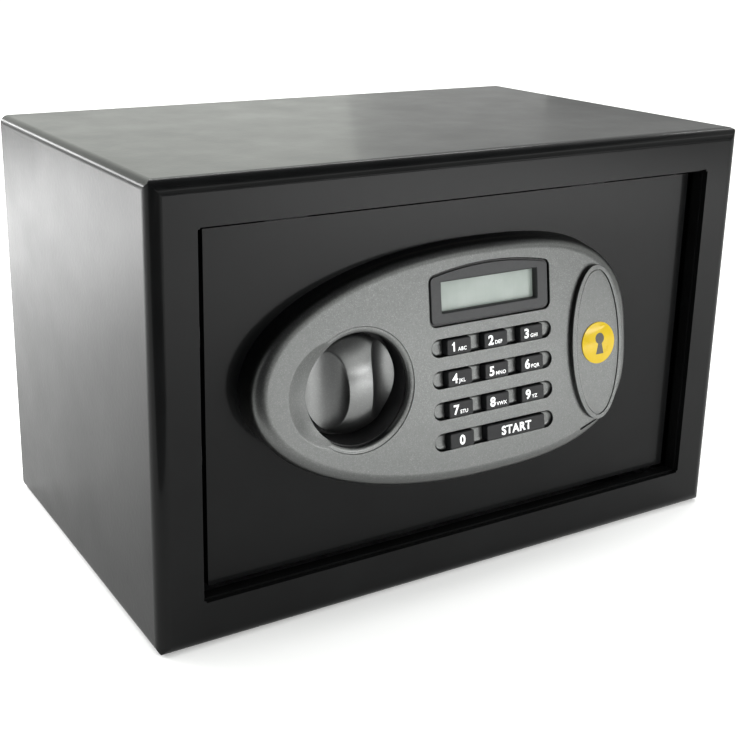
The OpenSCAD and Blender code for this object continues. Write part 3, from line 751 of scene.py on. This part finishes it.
def panel_rings(inset, depth, overrun, steps=8):
    """Rings from the door up the panel's wall and over its rounded edge, down by depth all over."""
    radius = PANEL_ROUND - inset
    turns = [pi / 2 * i / steps for i in range(steps + 1)]
    profile = [(inset + radius * (1 - cos(a)), radius * sin(a) - radius - depth) for a in turns]
    edge = stack(egg, profile)
    foot = egg_on_door(inset, overrun)
    wall = [[a.lerp(b, i / WALL_RINGS) for a, b in zip(foot, edge[0])] for i in range(WALL_RINGS)]
    return wall + edge


# The round opening for the knob, the ring round it and the finger hollow on its left
MOUTH_RADIUS = 24.5
RING_RADIUS = 27.2
MOUTH_DEPTH = 12
BAND_INSET = 0.35
BAND_WIDTH = 2.35
BAND_DROP = 1.15
CUP_RADIUS = 26.2
CUP_FRONT = -3.5
CUP_BACK = -25
HOLLOW_RADIUS = 23.0
HOLLOW_DEPTH = 4.6
HOLLOW_OFFSET = -11.0
HOLLOW_RISE = 0.4


def mouth_profile():
    """The ring: a crisp step, a shallow rounded band and the straight wall of the opening."""
    step = [(0, 1), (0, 0), (0.12, -0.22)]
    turns = [pi / 2 * i / 8 for i in range(9)]
    band = [(BAND_INSET + BAND_WIDTH * sin(a), -BAND_INSET - BAND_DROP * (1 - cos(a))) for a in turns]
    return step + band + [(RING_RADIUS - MOUTH_RADIUS, -MOUTH_DEPTH)]


def hollow_profile(steps=18):
    """A ball-shaped dish with a fine lip."""
    ball = (HOLLOW_RADIUS**2 + HOLLOW_DEPTH**2) / (2 * HOLLOW_DEPTH)
    rise = ball - HOLLOW_DEPTH
    reaches = [HOLLOW_RADIUS * (1 - i / steps) for i in range(steps)]
    dish = [(HOLLOW_RADIUS - reach, rise - sqrt(ball**2 - reach**2)) for reach in reaches[1:]]
    lip = [(-0.9, 0.3), (-0.35, 0), (0.05, -0.08)]
    return lip + dish


# Each row of keys lies in a trough, and each key in a well through the trough's floor
ROWS = (
    ("key_1", "key_2", "key_3"),
    ("key_4", "key_5", "key_6"),
    ("key_7", "key_8", "key_9"),
    ("key_0", "key_start"),
)
TROUGH_LENGTH = 66.0
TROUGH_HEIGHT = 7.9
TROUGH_DEPTH = 1.9
TROUGH_LIP = 0.25
TROUGH_CORNER = 1.5
WELL_CORNER = 0.6
WELL_BOTTOM = -8
WELL_OVERLAP = 0.5
KEY_GAP = 0.35
KEY_LIP = 1.1


def trough_cutter(row):
    level = middle(face_box(row[0])).y
    centre = (middle(face_box("keypad_mat")).x, level)
    outline = soft_rectangle(centre, TROUGH_LENGTH, TROUGH_HEIGHT, TROUGH_HEIGHT / 2)
    return cutter(outline, pocket(TROUGH_DEPTH, TROUGH_LIP, TROUGH_CORNER))


def key_size(node):
    """The centre and size of a key's cap, which is its CAD box without the lip round its foot."""
    box = face_box(node)
    size = box[1] - box[0]
    return middle(box), size.x - 2 * KEY_LIP, size.y - 2 * KEY_LIP, box[1].z


def well_cutter(node):
    centre, width, height, _ = key_size(node)
    outline = soft_rectangle(centre, width + 2 * KEY_GAP, height + 2 * KEY_GAP, WELL_CORNER)
    return cutter(outline, [(0, WELL_OVERLAP - TROUGH_DEPTH), (0, WELL_BOTTOM)])


DISPLAY_ARCH = 145.0
DISPLAY_CORNER = 3.0
# Width of the step round the bezel, whose darker plastic is painted shade
SHADED_STEP_WIDTH = 0.7
WINDOW_GAP = 0.35
WINDOW_DEPTH = 4.2
WINDOW_EDGE = 0.3


def display_outline(grow):
    """The window's outline: a flat foot, upright sides and an arched head."""
    box = face_box("display_bezel")
    left, right = box[0].x - grow, box[1].x + grow
    low, crown = box[0].y - grow, box[1].y + grow
    mid = (left + right) / 2
    half = (right - left) / 2

    def head(x):
        return crown - DISPLAY_ARCH + sqrt(DISPLAY_ARCH**2 - (x - mid) ** 2)

    def outline(inset):
        reach = half - inset
        corner = max(DISPLAY_CORNER + grow - inset, 0.1)
        shoulder = reach - corner
        turns = [pi / 2 * i / 6 for i in range(7)]
        level = head(mid + shoulder) - inset
        right_top = [(mid + shoulder + corner * cos(a), level - corner + corner * sin(a)) for a in turns]
        arch_places = [mid + shoulder * (1 - i / 8) for i in range(1, 16)]
        arch = [(x, head(x) - inset) for x in arch_places]
        left_top = [(2 * mid - x, y) for x, y in reversed(right_top)]
        foot = low + inset + corner
        left_foot = [(mid - shoulder - corner * cos(a), foot - corner * sin(a)) for a in turns]
        right_foot = [(2 * mid - x, y) for x, y in reversed(left_foot)]
        return right_top + arch + left_top + left_foot + right_foot

    return outline


LOCK_CLEARANCE = 0.5
LOCK_BORE = 40


def lock_cutter():
    """The hole for the key lock's barrel, hidden by the oval cover."""
    low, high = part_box("lock_housing")
    centre = (low + high) / 2
    matrix = place(ACROSS, TO_TOP, TO_FRONT, Vector((centre.x, high.y, centre.z)))
    radius = (high.x - low.x) / 2 / MM + LOCK_CLEARANCE
    return cutter(soft_ellipse((0, 0), radius, radius), [(0, 0), (0, LOCK_BORE)], matrix)


def cup_cutter():
    """Room behind the ring for the knob's cup."""
    ring = ring_centre()
    return cutter(soft_ellipse(ring, CUP_RADIUS, CUP_RADIUS), [(0, CUP_FRONT), (0, CUP_BACK)])


def ring_centre():
    """Where the knob's axis meets the panel's face."""
    point = FACE.inverted() @ Vector((knob_axis.x, knob_low.y, knob_axis.z))
    return (point.x, point.y)


NOTCH_LENGTH = 15.0
NOTCH_WIDTH = 1.1
NOTCH_TURN = radians(17)
# Place of the notch's middle from the foot of the oval cover
NOTCH_OFFSET = (-2.5, -1.6)


def notch_cutter():
    """A slot in the panel below the oval cover, where a blade lifts the cover."""
    oval = face_box("override_cover")
    centre = Vector((middle(oval).x + NOTCH_OFFSET[0], oval[0].y + NOTCH_OFFSET[1]))
    turn = Matrix.Rotation(NOTCH_TURN, 2)

    def outline(inset):
        length = NOTCH_LENGTH - 2 * inset
        width = NOTCH_WIDTH - 2 * inset
        # The ends are rounded to just under half the width
        flat = rounded(rectangle((0, 0), length, width), width / 2.02)
        return [tuple(centre + turn @ Vector(point)) for point in flat]

    return cutter(outline, [(-0.2, 1), (0, -0.2), (0.1, -1.2)])


def make_panel():
    panel = new_object("panel_skin", new_mesh("panel_skin", *loft(panel_rings(0, 0, 0))))
    inside = panel_rings(PANEL_WALL, BACK_DEPTH - PANEL_WALL, CAVITY_OVERRUN)
    cavity = new_object("cutter", new_mesh("cutter", *loft(inside)))
    ring = ring_centre()
    mouth = cutter(soft_ellipse(ring, RING_RADIUS, RING_RADIUS), mouth_profile())
    hollow_middle = (ring[0] + HOLLOW_OFFSET, ring[1] + HOLLOW_RISE)
    hollow = cutter(soft_ellipse(hollow_middle, HOLLOW_RADIUS, HOLLOW_RADIUS), hollow_profile())
    window = cutter(display_outline(WINDOW_GAP), pocket(WINDOW_DEPTH, WINDOW_EDGE, WINDOW_EDGE))
    troughs = [trough_cutter(row) for row in ROWS]
    wells = [well_cutter(node) for row in ROWS for node in row]
    cutters = [cavity, cup_cutter(), hollow, mouth, window, *troughs, *wells, lock_cutter(), notch_cutter()]
    carve(panel, cutters)
    finish_piece(panel, MATERIALS["silver_paint"], "escutcheon", ["escutcheon"])


# ---------- knob ----------

GRIP_HALF = 5.7
GRIP_LEAN = radians(2.5)
KNOB_DOME = 30.5
SCOOP_DEPTH = 10.3
SCOOP_RADIUS = 13.0
# Reach of the blend where the dome meets a scoop
EDGE_BLEND = 0.25
SCOOP_RISE = SCOOP_RADIUS - SCOOP_DEPTH
GRIP_DROP = KNOB_DOME - sqrt(KNOB_DOME**2 - GRIP_HALF**2)
SCOOP_OFFSET = GRIP_HALF + sqrt(SCOOP_RADIUS**2 - (SCOOP_RISE + GRIP_DROP) ** 2)


def knob_height(x, y):
    """Height of the knob's front below its crest: a dome with a round scoop on each side of the grip."""
    dome = sqrt(KNOB_DOME**2 - x * x - y * y) - KNOB_DOME
    across = SCOOP_OFFSET - abs(x)
    if abs(across) > SCOOP_RADIUS:
        return dome
    scoop = SCOOP_RISE - sqrt(SCOOP_RADIUS**2 - across * across)
    return soft_least(dome, scoop, EDGE_BLEND)


def soft_least(first, second, blend):
    """The lower of two heights, blended over where they meet so that the edge is slightly round."""
    share = min(max(0.5 + (second - first) / (2 * blend), 0), 1)
    return second + (first - second) * share - blend * share * (1 - share)


def knob_columns(radius):
    """Places across the knob, close together at the edges of the grip and at the rim."""
    edge = 1.4
    grip = [(GRIP_HALF - edge) * i / 5 for i in range(5)]
    crest = [GRIP_HALF - edge + (2 * edge + 4) * i / 44 for i in range(45)]
    start = crest[-1]
    scoop = [start + (radius - start) * sin(pi / 2 * i / 20) for i in range(1, 21)]
    half = grip + crest + scoop
    return [-x for x in reversed(half[1:])] + half


def make_knob():
    """A grid over the knob's front, with a straight side down to its back."""
    radius = (knob_high.z - knob_low.z) / 2 / MM
    height = (knob_high.y - knob_low.y) / MM
    rows = 64
    turn = Matrix.Rotation(GRIP_LEAN, 4, "Z")
    columns = knob_columns(radius)
    spots = [-cos(pi * i / rows) for i in range(rows + 1)]
    vertices = []
    for x in columns:
        reach = sqrt(max(radius**2 - x * x, 0))
        vertices += [Vector((x, t * reach, knob_height(x, t * reach))) for t in spots]
    faces = []
    for c in range(len(columns) - 1):
        for r in range(rows):
            first = c * (rows + 1) + r
            faces.append((first, first + rows + 1, first + rows + 2, first + 1))
    # The side goes straight back from the rim of the front
    rim = [c * (rows + 1) for c in range(len(columns))]
    rim += [c * (rows + 1) + rows for c in range(len(columns) - 1, -1, -1)]
    base = len(vertices)
    vertices += [Vector((vertices[i].x, vertices[i].y, -height)) for i in rim]
    for i in range(len(rim)):
        ahead = (i + 1) % len(rim)
        faces.append((rim[i], rim[ahead], base + ahead, base + i))
    faces.append(tuple(range(base, base + len(rim))))
    placed = [KNOB @ (turn @ point) for point in vertices]
    knob = new_object("knob_skin", new_mesh("knob_skin", placed, faces))
    finish_piece(knob, KNOB_PAINT_LIT, "knob", ["knob"])


# ---------- display ----------


def make_bezel():
    """The window's frame. A narrow step runs round it; the step, the frame's sides and the sides of its opening
    take the darker plastic as painted shade.
    """
    box = face_box("display_bezel")
    window = face_box("display_panel")
    low, top = box[0].z, box[1].z
    step, edge = 0.9, 0.35
    frame_top = [(SHADED_STEP_WIDTH + inset, height) for inset, height in rounded_top(top - step, top, edge)]
    profile = [(0, low), (0, top - step)] + frame_top
    rings = stack(display_outline(0), profile)
    bezel = new_object("bezel_skin", new_mesh("bezel_skin", *loft(rings)))
    # The glass reaches this far behind the frame at its sides, and at its head and foot
    tuck_side, tuck_level = 3, 2
    width = window[1].x - window[0].x - 2 * tuck_side
    height = window[1].y - window[0].y - 2 * tuck_level
    flare = 0.5
    opening = [(-flare, top + 1), (-flare, top), (0, top - flare), (0.1, low - 1)]
    carve(bezel, [cutter(soft_rectangle(middle(window), width, height, 0.3), opening)])
    finish_piece(bezel, MATERIALS["bezel_plastic"], "display_bezel", ["display_bezel"])
    # The darker plastic on the step and the sides is painted shade in the groove round the frame and in the
    # opening
    bezel.data.materials.append(MATERIALS["dark_plastic"])
    to_face = FACE.inverted()
    for face in bezel.data.polygons:
        if (to_face @ face.center).z < top - step / 2:
            face.material_index = 1


def make_glass():
    box = face_box("display_panel")
    size = box[1] - box[0]
    corner, edge = 0.5, 0.15
    outline = soft_rectangle(middle(box), size.x, size.y, corner)
    rings = stack(outline, rounded_top(box[0].z, box[1].z, edge))
    glass = new_object("display_skin", new_mesh("display_skin", *loft(rings)))
    finish_piece(glass, MATERIALS["display_glass"], "display_panel", ["display_panel"])


# ---------- keys ----------

LETTERS = {
    "key_1": "ABC",
    "key_2": "DEF",
    "key_3": "GHI",
    "key_4": "JKL",
    "key_5": "MNO",
    "key_6": "PQR",
    "key_7": "STU",
    "key_8": "VWX",
    "key_9": "YZ",
}
INK_THICKNESS = 0.03
# Height of the built-in typeface's capitals as a share of its size
CAP_SHARE = 0.7
# Outward offset that the built-in typeface stands without losing its fill, as a share of its size
TYPE_OFFSET = 0.02
LETTER_SPACING = 1.08
# Outward pushes that almost cancel leave a point where it is
LEAST_PUSH = 0.3


def embolden(mesh, growth):
    """Moves the rim of flat characters outwards in their plane."""
    work = bmesh.new()
    work.from_mesh(mesh)
    bmesh.ops.remove_doubles(work, verts=work.verts, dist=1e-5)
    moves = {}
    for edge in work.edges:
        if not edge.is_boundary:
            continue
        start, end = (vertex.co for vertex in edge.verts)
        outward = (end - start).cross(Vector((0, 0, 1))).normalized()
        if outward.dot((start + end) / 2 - edge.link_faces[0].calc_center_median()) < 0:
            outward.negate()
        for vertex in edge.verts:
            moves.setdefault(vertex, []).append(outward)
    for vertex, pushes in moves.items():
        push = sum(pushes, Vector())
        if push.length > LEAST_PUSH:
            vertex.co += push.normalized() * growth
    work.to_mesh(mesh)
    work.free()


def figure_one(name, height):
    """A number 1 with a flag, which the built-in typeface draws as a plain bar."""
    stem_right = [(0.09, 0), (0.09, 1), (-0.03, 1)]
    flag = [(-0.09, 0.87), (-0.24, 0.77), (-0.24, 0.64)]
    stem_left = [(-0.08, 0.70), (-0.08, 0)]
    outline = stem_right + flag + stem_left
    vertices = [(x * height, y * height, 0) for x, y in outline]
    return new_mesh(name, vertices, [tuple(range(len(outline)))])


def type_mesh(name, words, height, align):
    """Words in the built-in typeface as a flat mesh at the origin."""
    curve = bpy.data.curves.new(name, "FONT")
    curve.body = words
    curve.align_x = align
    curve.size = height / CAP_SHARE
    curve.offset = TYPE_OFFSET * curve.size
    curve.space_character = LETTER_SPACING
    text = bpy.data.objects.new(name, curve)
    bpy.context.scene.collection.objects.link(text)
    bpy.context.view_layer.update()
    mesh = bpy.data.meshes.new_from_object(text.evaluated_get(bpy.context.evaluated_depsgraph_get()))
    bpy.data.objects.remove(text)
    return mesh


def lettering(name, words, node, corner, height, growth, align="LEFT"):
    """Flat printed characters on a key, with the given corner at the foot of their line.

    growth is how far their strokes swell at each side, as a share of their height.
    """
    mesh = figure_one(name, height) if words == "1" else type_mesh(name, words, height, align)
    embolden(mesh, growth * height)
    top = key_size(node)[3] + INK_THICKNESS
    mesh.transform(FACE @ Matrix.Translation((corner[0], corner[1], top)))
    mesh.name = name
    printed = new_object(name, mesh)
    printed.data.materials.append(INK)
    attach(printed, BODY_OF[node])


def make_key(node):
    """A rubber cap with rounded edges and a lip round its foot that keeps it in its well."""
    centre, width, height, top = key_size(node)
    foot = face_box(node)[0].z
    cap = rounded_top(foot + 1, top, 0.55)
    profile = [(-KEY_LIP, foot), (-KEY_LIP, foot + 0.8), (-KEY_LIP + 0.2, foot + 1)] + cap
    outline = soft_rectangle(centre, width, height, 1.0)
    rings = stack(outline, profile)
    skin = new_object(node + "_skin", new_mesh(node + "_skin", *loft(rings)))
    finish_piece(skin, MATERIALS["key_rubber"], node, [node])


# The foot of each key's line lies this far below its middle
LINE_DROP = 2.0
# Height of the characters, and growth of their strokes
WORD = (3.8, 0.026)
DIGIT = (4.1, 0.022)
SMALL_LETTERS = (1.6, 0.006)
# Places across the key of a number that has letters, and of the letters' left end
DIGIT_SIDE = -2.8
LETTERS_SIDE = -0.7


def print_key(node):
    """The number and its letters, or the start key's word."""
    centre = key_size(node)[0]
    base = centre.y - LINE_DROP
    if node == "key_start":
        lettering("start_print", "START", node, (centre.x, base), *WORD, "CENTER")
        return
    digit = node[-1]
    letters = LETTERS.get(node)
    side = DIGIT_SIDE if letters else 0
    lettering("digit_" + digit, digit, node, (centre.x + side, base), *DIGIT, "CENTER")
    if letters:
        lettering("letters_" + digit, letters, node, (centre.x + LETTERS_SIDE, base), *SMALL_LETTERS)


# ---------- oval cover and badge ----------

GROOVE_INSET = 2.1
GROOVE_DEPTH = 0.7
OVAL_EDGE = 0.3


def groove_share(turn):
    """Share of the groove's full depth at a turn from its right-hand end, which is least on the left."""
    level, swing, least = 0.75, 0.9, 0.12
    return min(max(level + swing * cos(turn), least), 1)


def make_oval():
    """A plate with a soft edge and a fine groove inside it, which fades to the left."""
    box = face_box("override_cover")
    size = box[1] - box[0]
    outline = soft_ellipse(middle(box), size.x / 2, size.y / 2)
    low, top = box[0].z, box[1].z
    floor = top - GROOVE_DEPTH
    groove = [(GROOVE_INSET, top), (GROOVE_INSET + 0.1, floor), (GROOVE_INSET + 0.45, floor)]
    plateau = [(GROOVE_INSET + 0.55, top - 0.12), (GROOVE_INSET + 0.8, top), (5, top), (9, top)]
    profile = rounded_top(low, top, OVAL_EDGE) + groove + plateau
    rings = stack(outline, profile)
    face = FACE.to_3x3() @ Vector((0, 0, 1))
    for ring, (inset, height) in zip(rings, profile):
        if inset < GROOVE_INSET or height == top:
            continue
        for i, point in enumerate(ring):
            share = groove_share(2 * pi * i / len(ring))
            ring[i] = point + face * (top - height) * (1 - share)
    oval = new_object("oval_skin", new_mesh("oval_skin", *loft(rings)))
    finish_piece(oval, MATERIALS["silver_paint"], "override_cover", ["override_cover"])


BADGE_RIM = 0.4
BADGE_STEPS = 14
# The dome closes on a small ring at its crest
CREST_RADIUS = 0.3


def badge_height(box, distance):
    """Height of the badge's dome at a distance from its middle."""
    radius = (box[1].x - box[0].x) / 2
    rise = box[1].z - box[0].z - BADGE_RIM
    ball = (radius**2 + rise**2) / (2 * rise)
    return box[1].z - ball + sqrt(ball**2 - distance**2)


def make_badge():
    box = face_box("cover_badge")
    radius = (box[1].x - box[0].x) / 2
    turns = [pi / 2 * i / BADGE_STEPS for i in range(BADGE_STEPS)]
    dome = [(radius * (1 - cos(a)), badge_height(box, radius * cos(a))) for a in turns]
    profile = [(0, box[0].z)] + dome + [(radius - CREST_RADIUS, box[1].z)]
    rings = stack(soft_ellipse(middle(box), radius, radius), profile)
    badge = new_object("badge_skin", new_mesh("badge_skin", *loft(rings)))
    finish_piece(badge, MATERIALS["badge_enamel"], "cover_badge", ["cover_badge"])


# The keyhole: a round eye, a foot that widens from its waist, and their heights on the badge
EYE_RADIUS = 2.6
WAIST_HALF = 1.1
FOOT_HALF = 2.3
EYE_HEIGHT = 2.2
WAIST_DROP = 2.4
FOOT_HEIGHT = -5.2
SIDE_STEPS = 8
# The rings of faces close in on a hub this far above the middle of eye and foot
HUB_RISE = 1.2
HUB_RINGS = 8


def keyhole_outline():
    """The keyhole's outline, from the right of the waist round the eye and the foot."""
    start = WAIST_HALF / EYE_RADIUS
    turns = [-pi / 2 + start + (2 * pi - 2 * start) * i / 40 for i in range(41)]
    eye = [(EYE_RADIUS * cos(a), EYE_HEIGHT + EYE_RADIUS * sin(a)) for a in turns]
    waist = EYE_HEIGHT - WAIST_DROP
    fall = FOOT_HEIGHT - EYE_HEIGHT + WAIST_DROP
    shares = [i / SIDE_STEPS for i in range(SIDE_STEPS + 1)]
    side = [(FOOT_HALF * share + WAIST_HALF * (1 - share), waist + fall * share) for share in shares]
    left_side = [(-x, y) for x, y in side]
    # These points run against the rest of the outline, so the foot's faces lie over one another
    foot = [(FOOT_HALF - FOOT_HALF * i / 4, FOOT_HEIGHT) for i in range(1, SIDE_STEPS)]
    return eye + left_side + foot + side[::-1]


def make_keyhole_mark():
    """A plain keyhole shape printed on the badge, following its dome."""
    box = face_box("cover_badge")
    centre = middle(box)
    outline = keyhole_outline()
    hub = Vector((0, (EYE_HEIGHT + FOOT_HEIGHT) / 2 + HUB_RISE))
    vertices = []
    for ring in range(1, HUB_RINGS + 1):
        for x, y in outline:
            spot = hub.lerp(Vector((x, y)), ring / HUB_RINGS)
            height = badge_height(box, spot.length) + INK_THICKNESS
            vertices.append(FACE @ Vector((centre.x + spot.x, centre.y + spot.y, height)))
    count = len(outline)
    faces = [tuple(range(count))]
    for ring in range(HUB_RINGS - 1):
        low = ring * count
        for i in range(count):
            ahead = (i + 1) % count
            faces.append((low + i, low + ahead, low + count + ahead, low + count + i))
    mark = new_object("keyhole_mark", new_mesh("keyhole_mark", vertices, faces))
    finish_piece(mark, BADGE_INK, "cover_badge")


make_panel()
make_knob()
make_bezel()
make_glass()
for row in ROWS:
    for node in row:
        make_key(node)
        print_key(node)
make_oval()
make_badge()
make_keyhole_mark()

# ---------- floor, light and camera ----------


def make_floor():
    """A large pale sheet with a faint uneven tone."""
    half = 12.0
    corners = [(-half, -half, 0), (half, -half, 0), (half, half, 0), (-half, half, 0)]
    floor = new_object("floor", new_mesh("floor", corners, [(0, 1, 2, 3)]))
    paper = surface(
        "studio paper",
        (0.80, 0.80, 0.80),
        (0.83, 0.83, 0.83),
        grain=3,
        rough=(0.75, 0.85),
        relief=0.00002,
        relief_grain=400,
        Specular_IOR_Level=0.2,
        Emission_Strength=0.18,
    )
    floor.data.materials.append(paper)


PALE_OLIVE = (0.95, 1.0, 0.90)
WORLD_COLOUR = (0.985, 1.0, 0.975, 1)
WORLD_STRENGTH = 1.07


def softbox(name, place_at, target, width, height, power, colour=(1, 1, 1)):
    """A rectangular lamp that faces a target and doesn't show in the picture itself."""
    lamp = bpy.data.lights.new(name, "AREA")
    lamp.shape = "RECTANGLE"
    lamp.size = width
    lamp.size_y = height
    lamp.energy = power
    lamp.color = colour
    box = bpy.data.objects.new(name, lamp)
    bpy.context.scene.collection.objects.link(box)
    box.location = place_at
    box.rotation_euler = (Vector(target) - Vector(place_at)).to_track_quat("-Z", "Y").to_euler()
    box.visible_camera = False
    return box


def floor_lamp(name, x, y, height, width, depth, power):
    """A softbox that faces straight down at the floor."""
    softbox(name, (x, y, height), (x, y, 0), width, depth, power)


def light_studio():
    world = bpy.data.worlds.new("studio")
    world.use_nodes = True
    back = world.node_tree.nodes["Background"]
    back.inputs["Color"].default_value = WORLD_COLOUR
    back.inputs["Strength"].default_value = WORLD_STRENGTH
    bpy.context.scene.world = world
    safe_middle = (0, 0, 0.1)
    softbox("back_softbox", (0.0, 2.0, 0.95), safe_middle, 2.6, 1.0, 8.3, PALE_OLIVE)
    top = softbox("top_softbox", (0, 0.2, 2.0), safe_middle, 1.2, 1.2, 17)
    top.visible_glossy = False
    # Two long lamps draw a fine line along the cabinet's top fold and round the top of the panel
    softbox("fold_light", (1.05, 1.15, 1.6), safe_middle, 2.4, 0.08, 16)
    softbox("panel_light", (0.75, -1.15, 0.85), safe_middle, 1.6, 0.10, 1.5)
    # These light the floor, which the safe's glossy sides reflect
    floor_lamp("left_floor_light", -0.66, 0.74, 0.3, 0.7, 0.65, 23.5)
    floor_lamp("right_floor_light", 0.55, -0.9, 0.22, 0.6, 0.5, 11)
    floor_lamp("near_floor_light", 0.2, -0.56, 0.2, 0.45, 0.3, 1.8)


def dark_card(name, corners):
    """A black card that only shows in what the glossy surfaces reflect."""
    card = new_object(name, new_mesh(name, [Vector(corner) for corner in corners], [(0, 1, 2, 3)]))
    card.data.materials.append(MATERIALS["felt"])
    card.visible_camera = False
    card.visible_diffuse = False
    card.visible_shadow = False


def standing_card(name, start, end, low, high):
    """A dark card that stands upright over the line between two places on the floor."""
    dark_card(name, [(*start, low), (*end, low), (*end, high), (*start, high)])


def lying_card(name, outline, height):
    """A dark card that lies level at a height."""
    dark_card(name, [(x, y, height) for x, y in outline])


def shade_studio():
    """Cards on the left behind the camera, low on the horizon at the right, on the floor and overhead."""
    standing_card("back_card", (-1.1, -0.22), (-0.3, -1.3), 0, 1.0)
    lying_card("floor_card", [(-1.1, -0.22), (-0.3, -0.16), (-0.1, -0.36), (-0.12, -1.3)], 0.001)
    standing_card("horizon_card", (0.0, -2.0), (1.7, -1.0), 0.02, 0.42)
    standing_card("side_card", (1.36, 1.48), (1.85, 0.8), 0.18, 0.45)
    lying_card("ceiling_card", [(-1.1, -1.3), (1.0, -1.0), (1.0, 0.45), (-1.1, 0.45)], 1.0)


# The camera's place and turn round the safe, in metres and degrees
AIM = Vector((-0.0176, 0.0070, 0.1127))
AZIMUTH = radians(-30.691)
ELEVATION = radians(16.425)
ROLL = radians(0.836)
DISTANCE = 0.61744
SENSOR = 36.0
FOCAL_LENGTH = 59.94
SHIFT = (0.0440, -0.0969)


def make_camera():
    back = Vector((sin(AZIMUTH) * cos(ELEVATION), -cos(AZIMUTH) * cos(ELEVATION), sin(ELEVATION)))
    level = (-back).cross(TO_TOP).normalized()
    upright = back.cross(level)
    right = level * cos(ROLL) + upright * sin(ROLL)
    up = upright * cos(ROLL) - level * sin(ROLL)
    lens = bpy.data.cameras.new("camera")
    lens.sensor_width = SENSOR
    lens.lens = FOCAL_LENGTH
    lens.shift_x, lens.shift_y = SHIFT
    lens.clip_start = 0.01
    camera = bpy.data.objects.new("camera", lens)
    bpy.context.scene.collection.objects.link(camera)
    turn = Matrix((right, up, back)).transposed().to_4x4()
    turn.translation = AIM + back * DISTANCE
    camera.matrix_world = turn
    bpy.context.scene.camera = camera


make_floor()
light_studio()
shade_studio()
make_camera()
bpy.context.scene.view_settings.view_transform = "Standard"
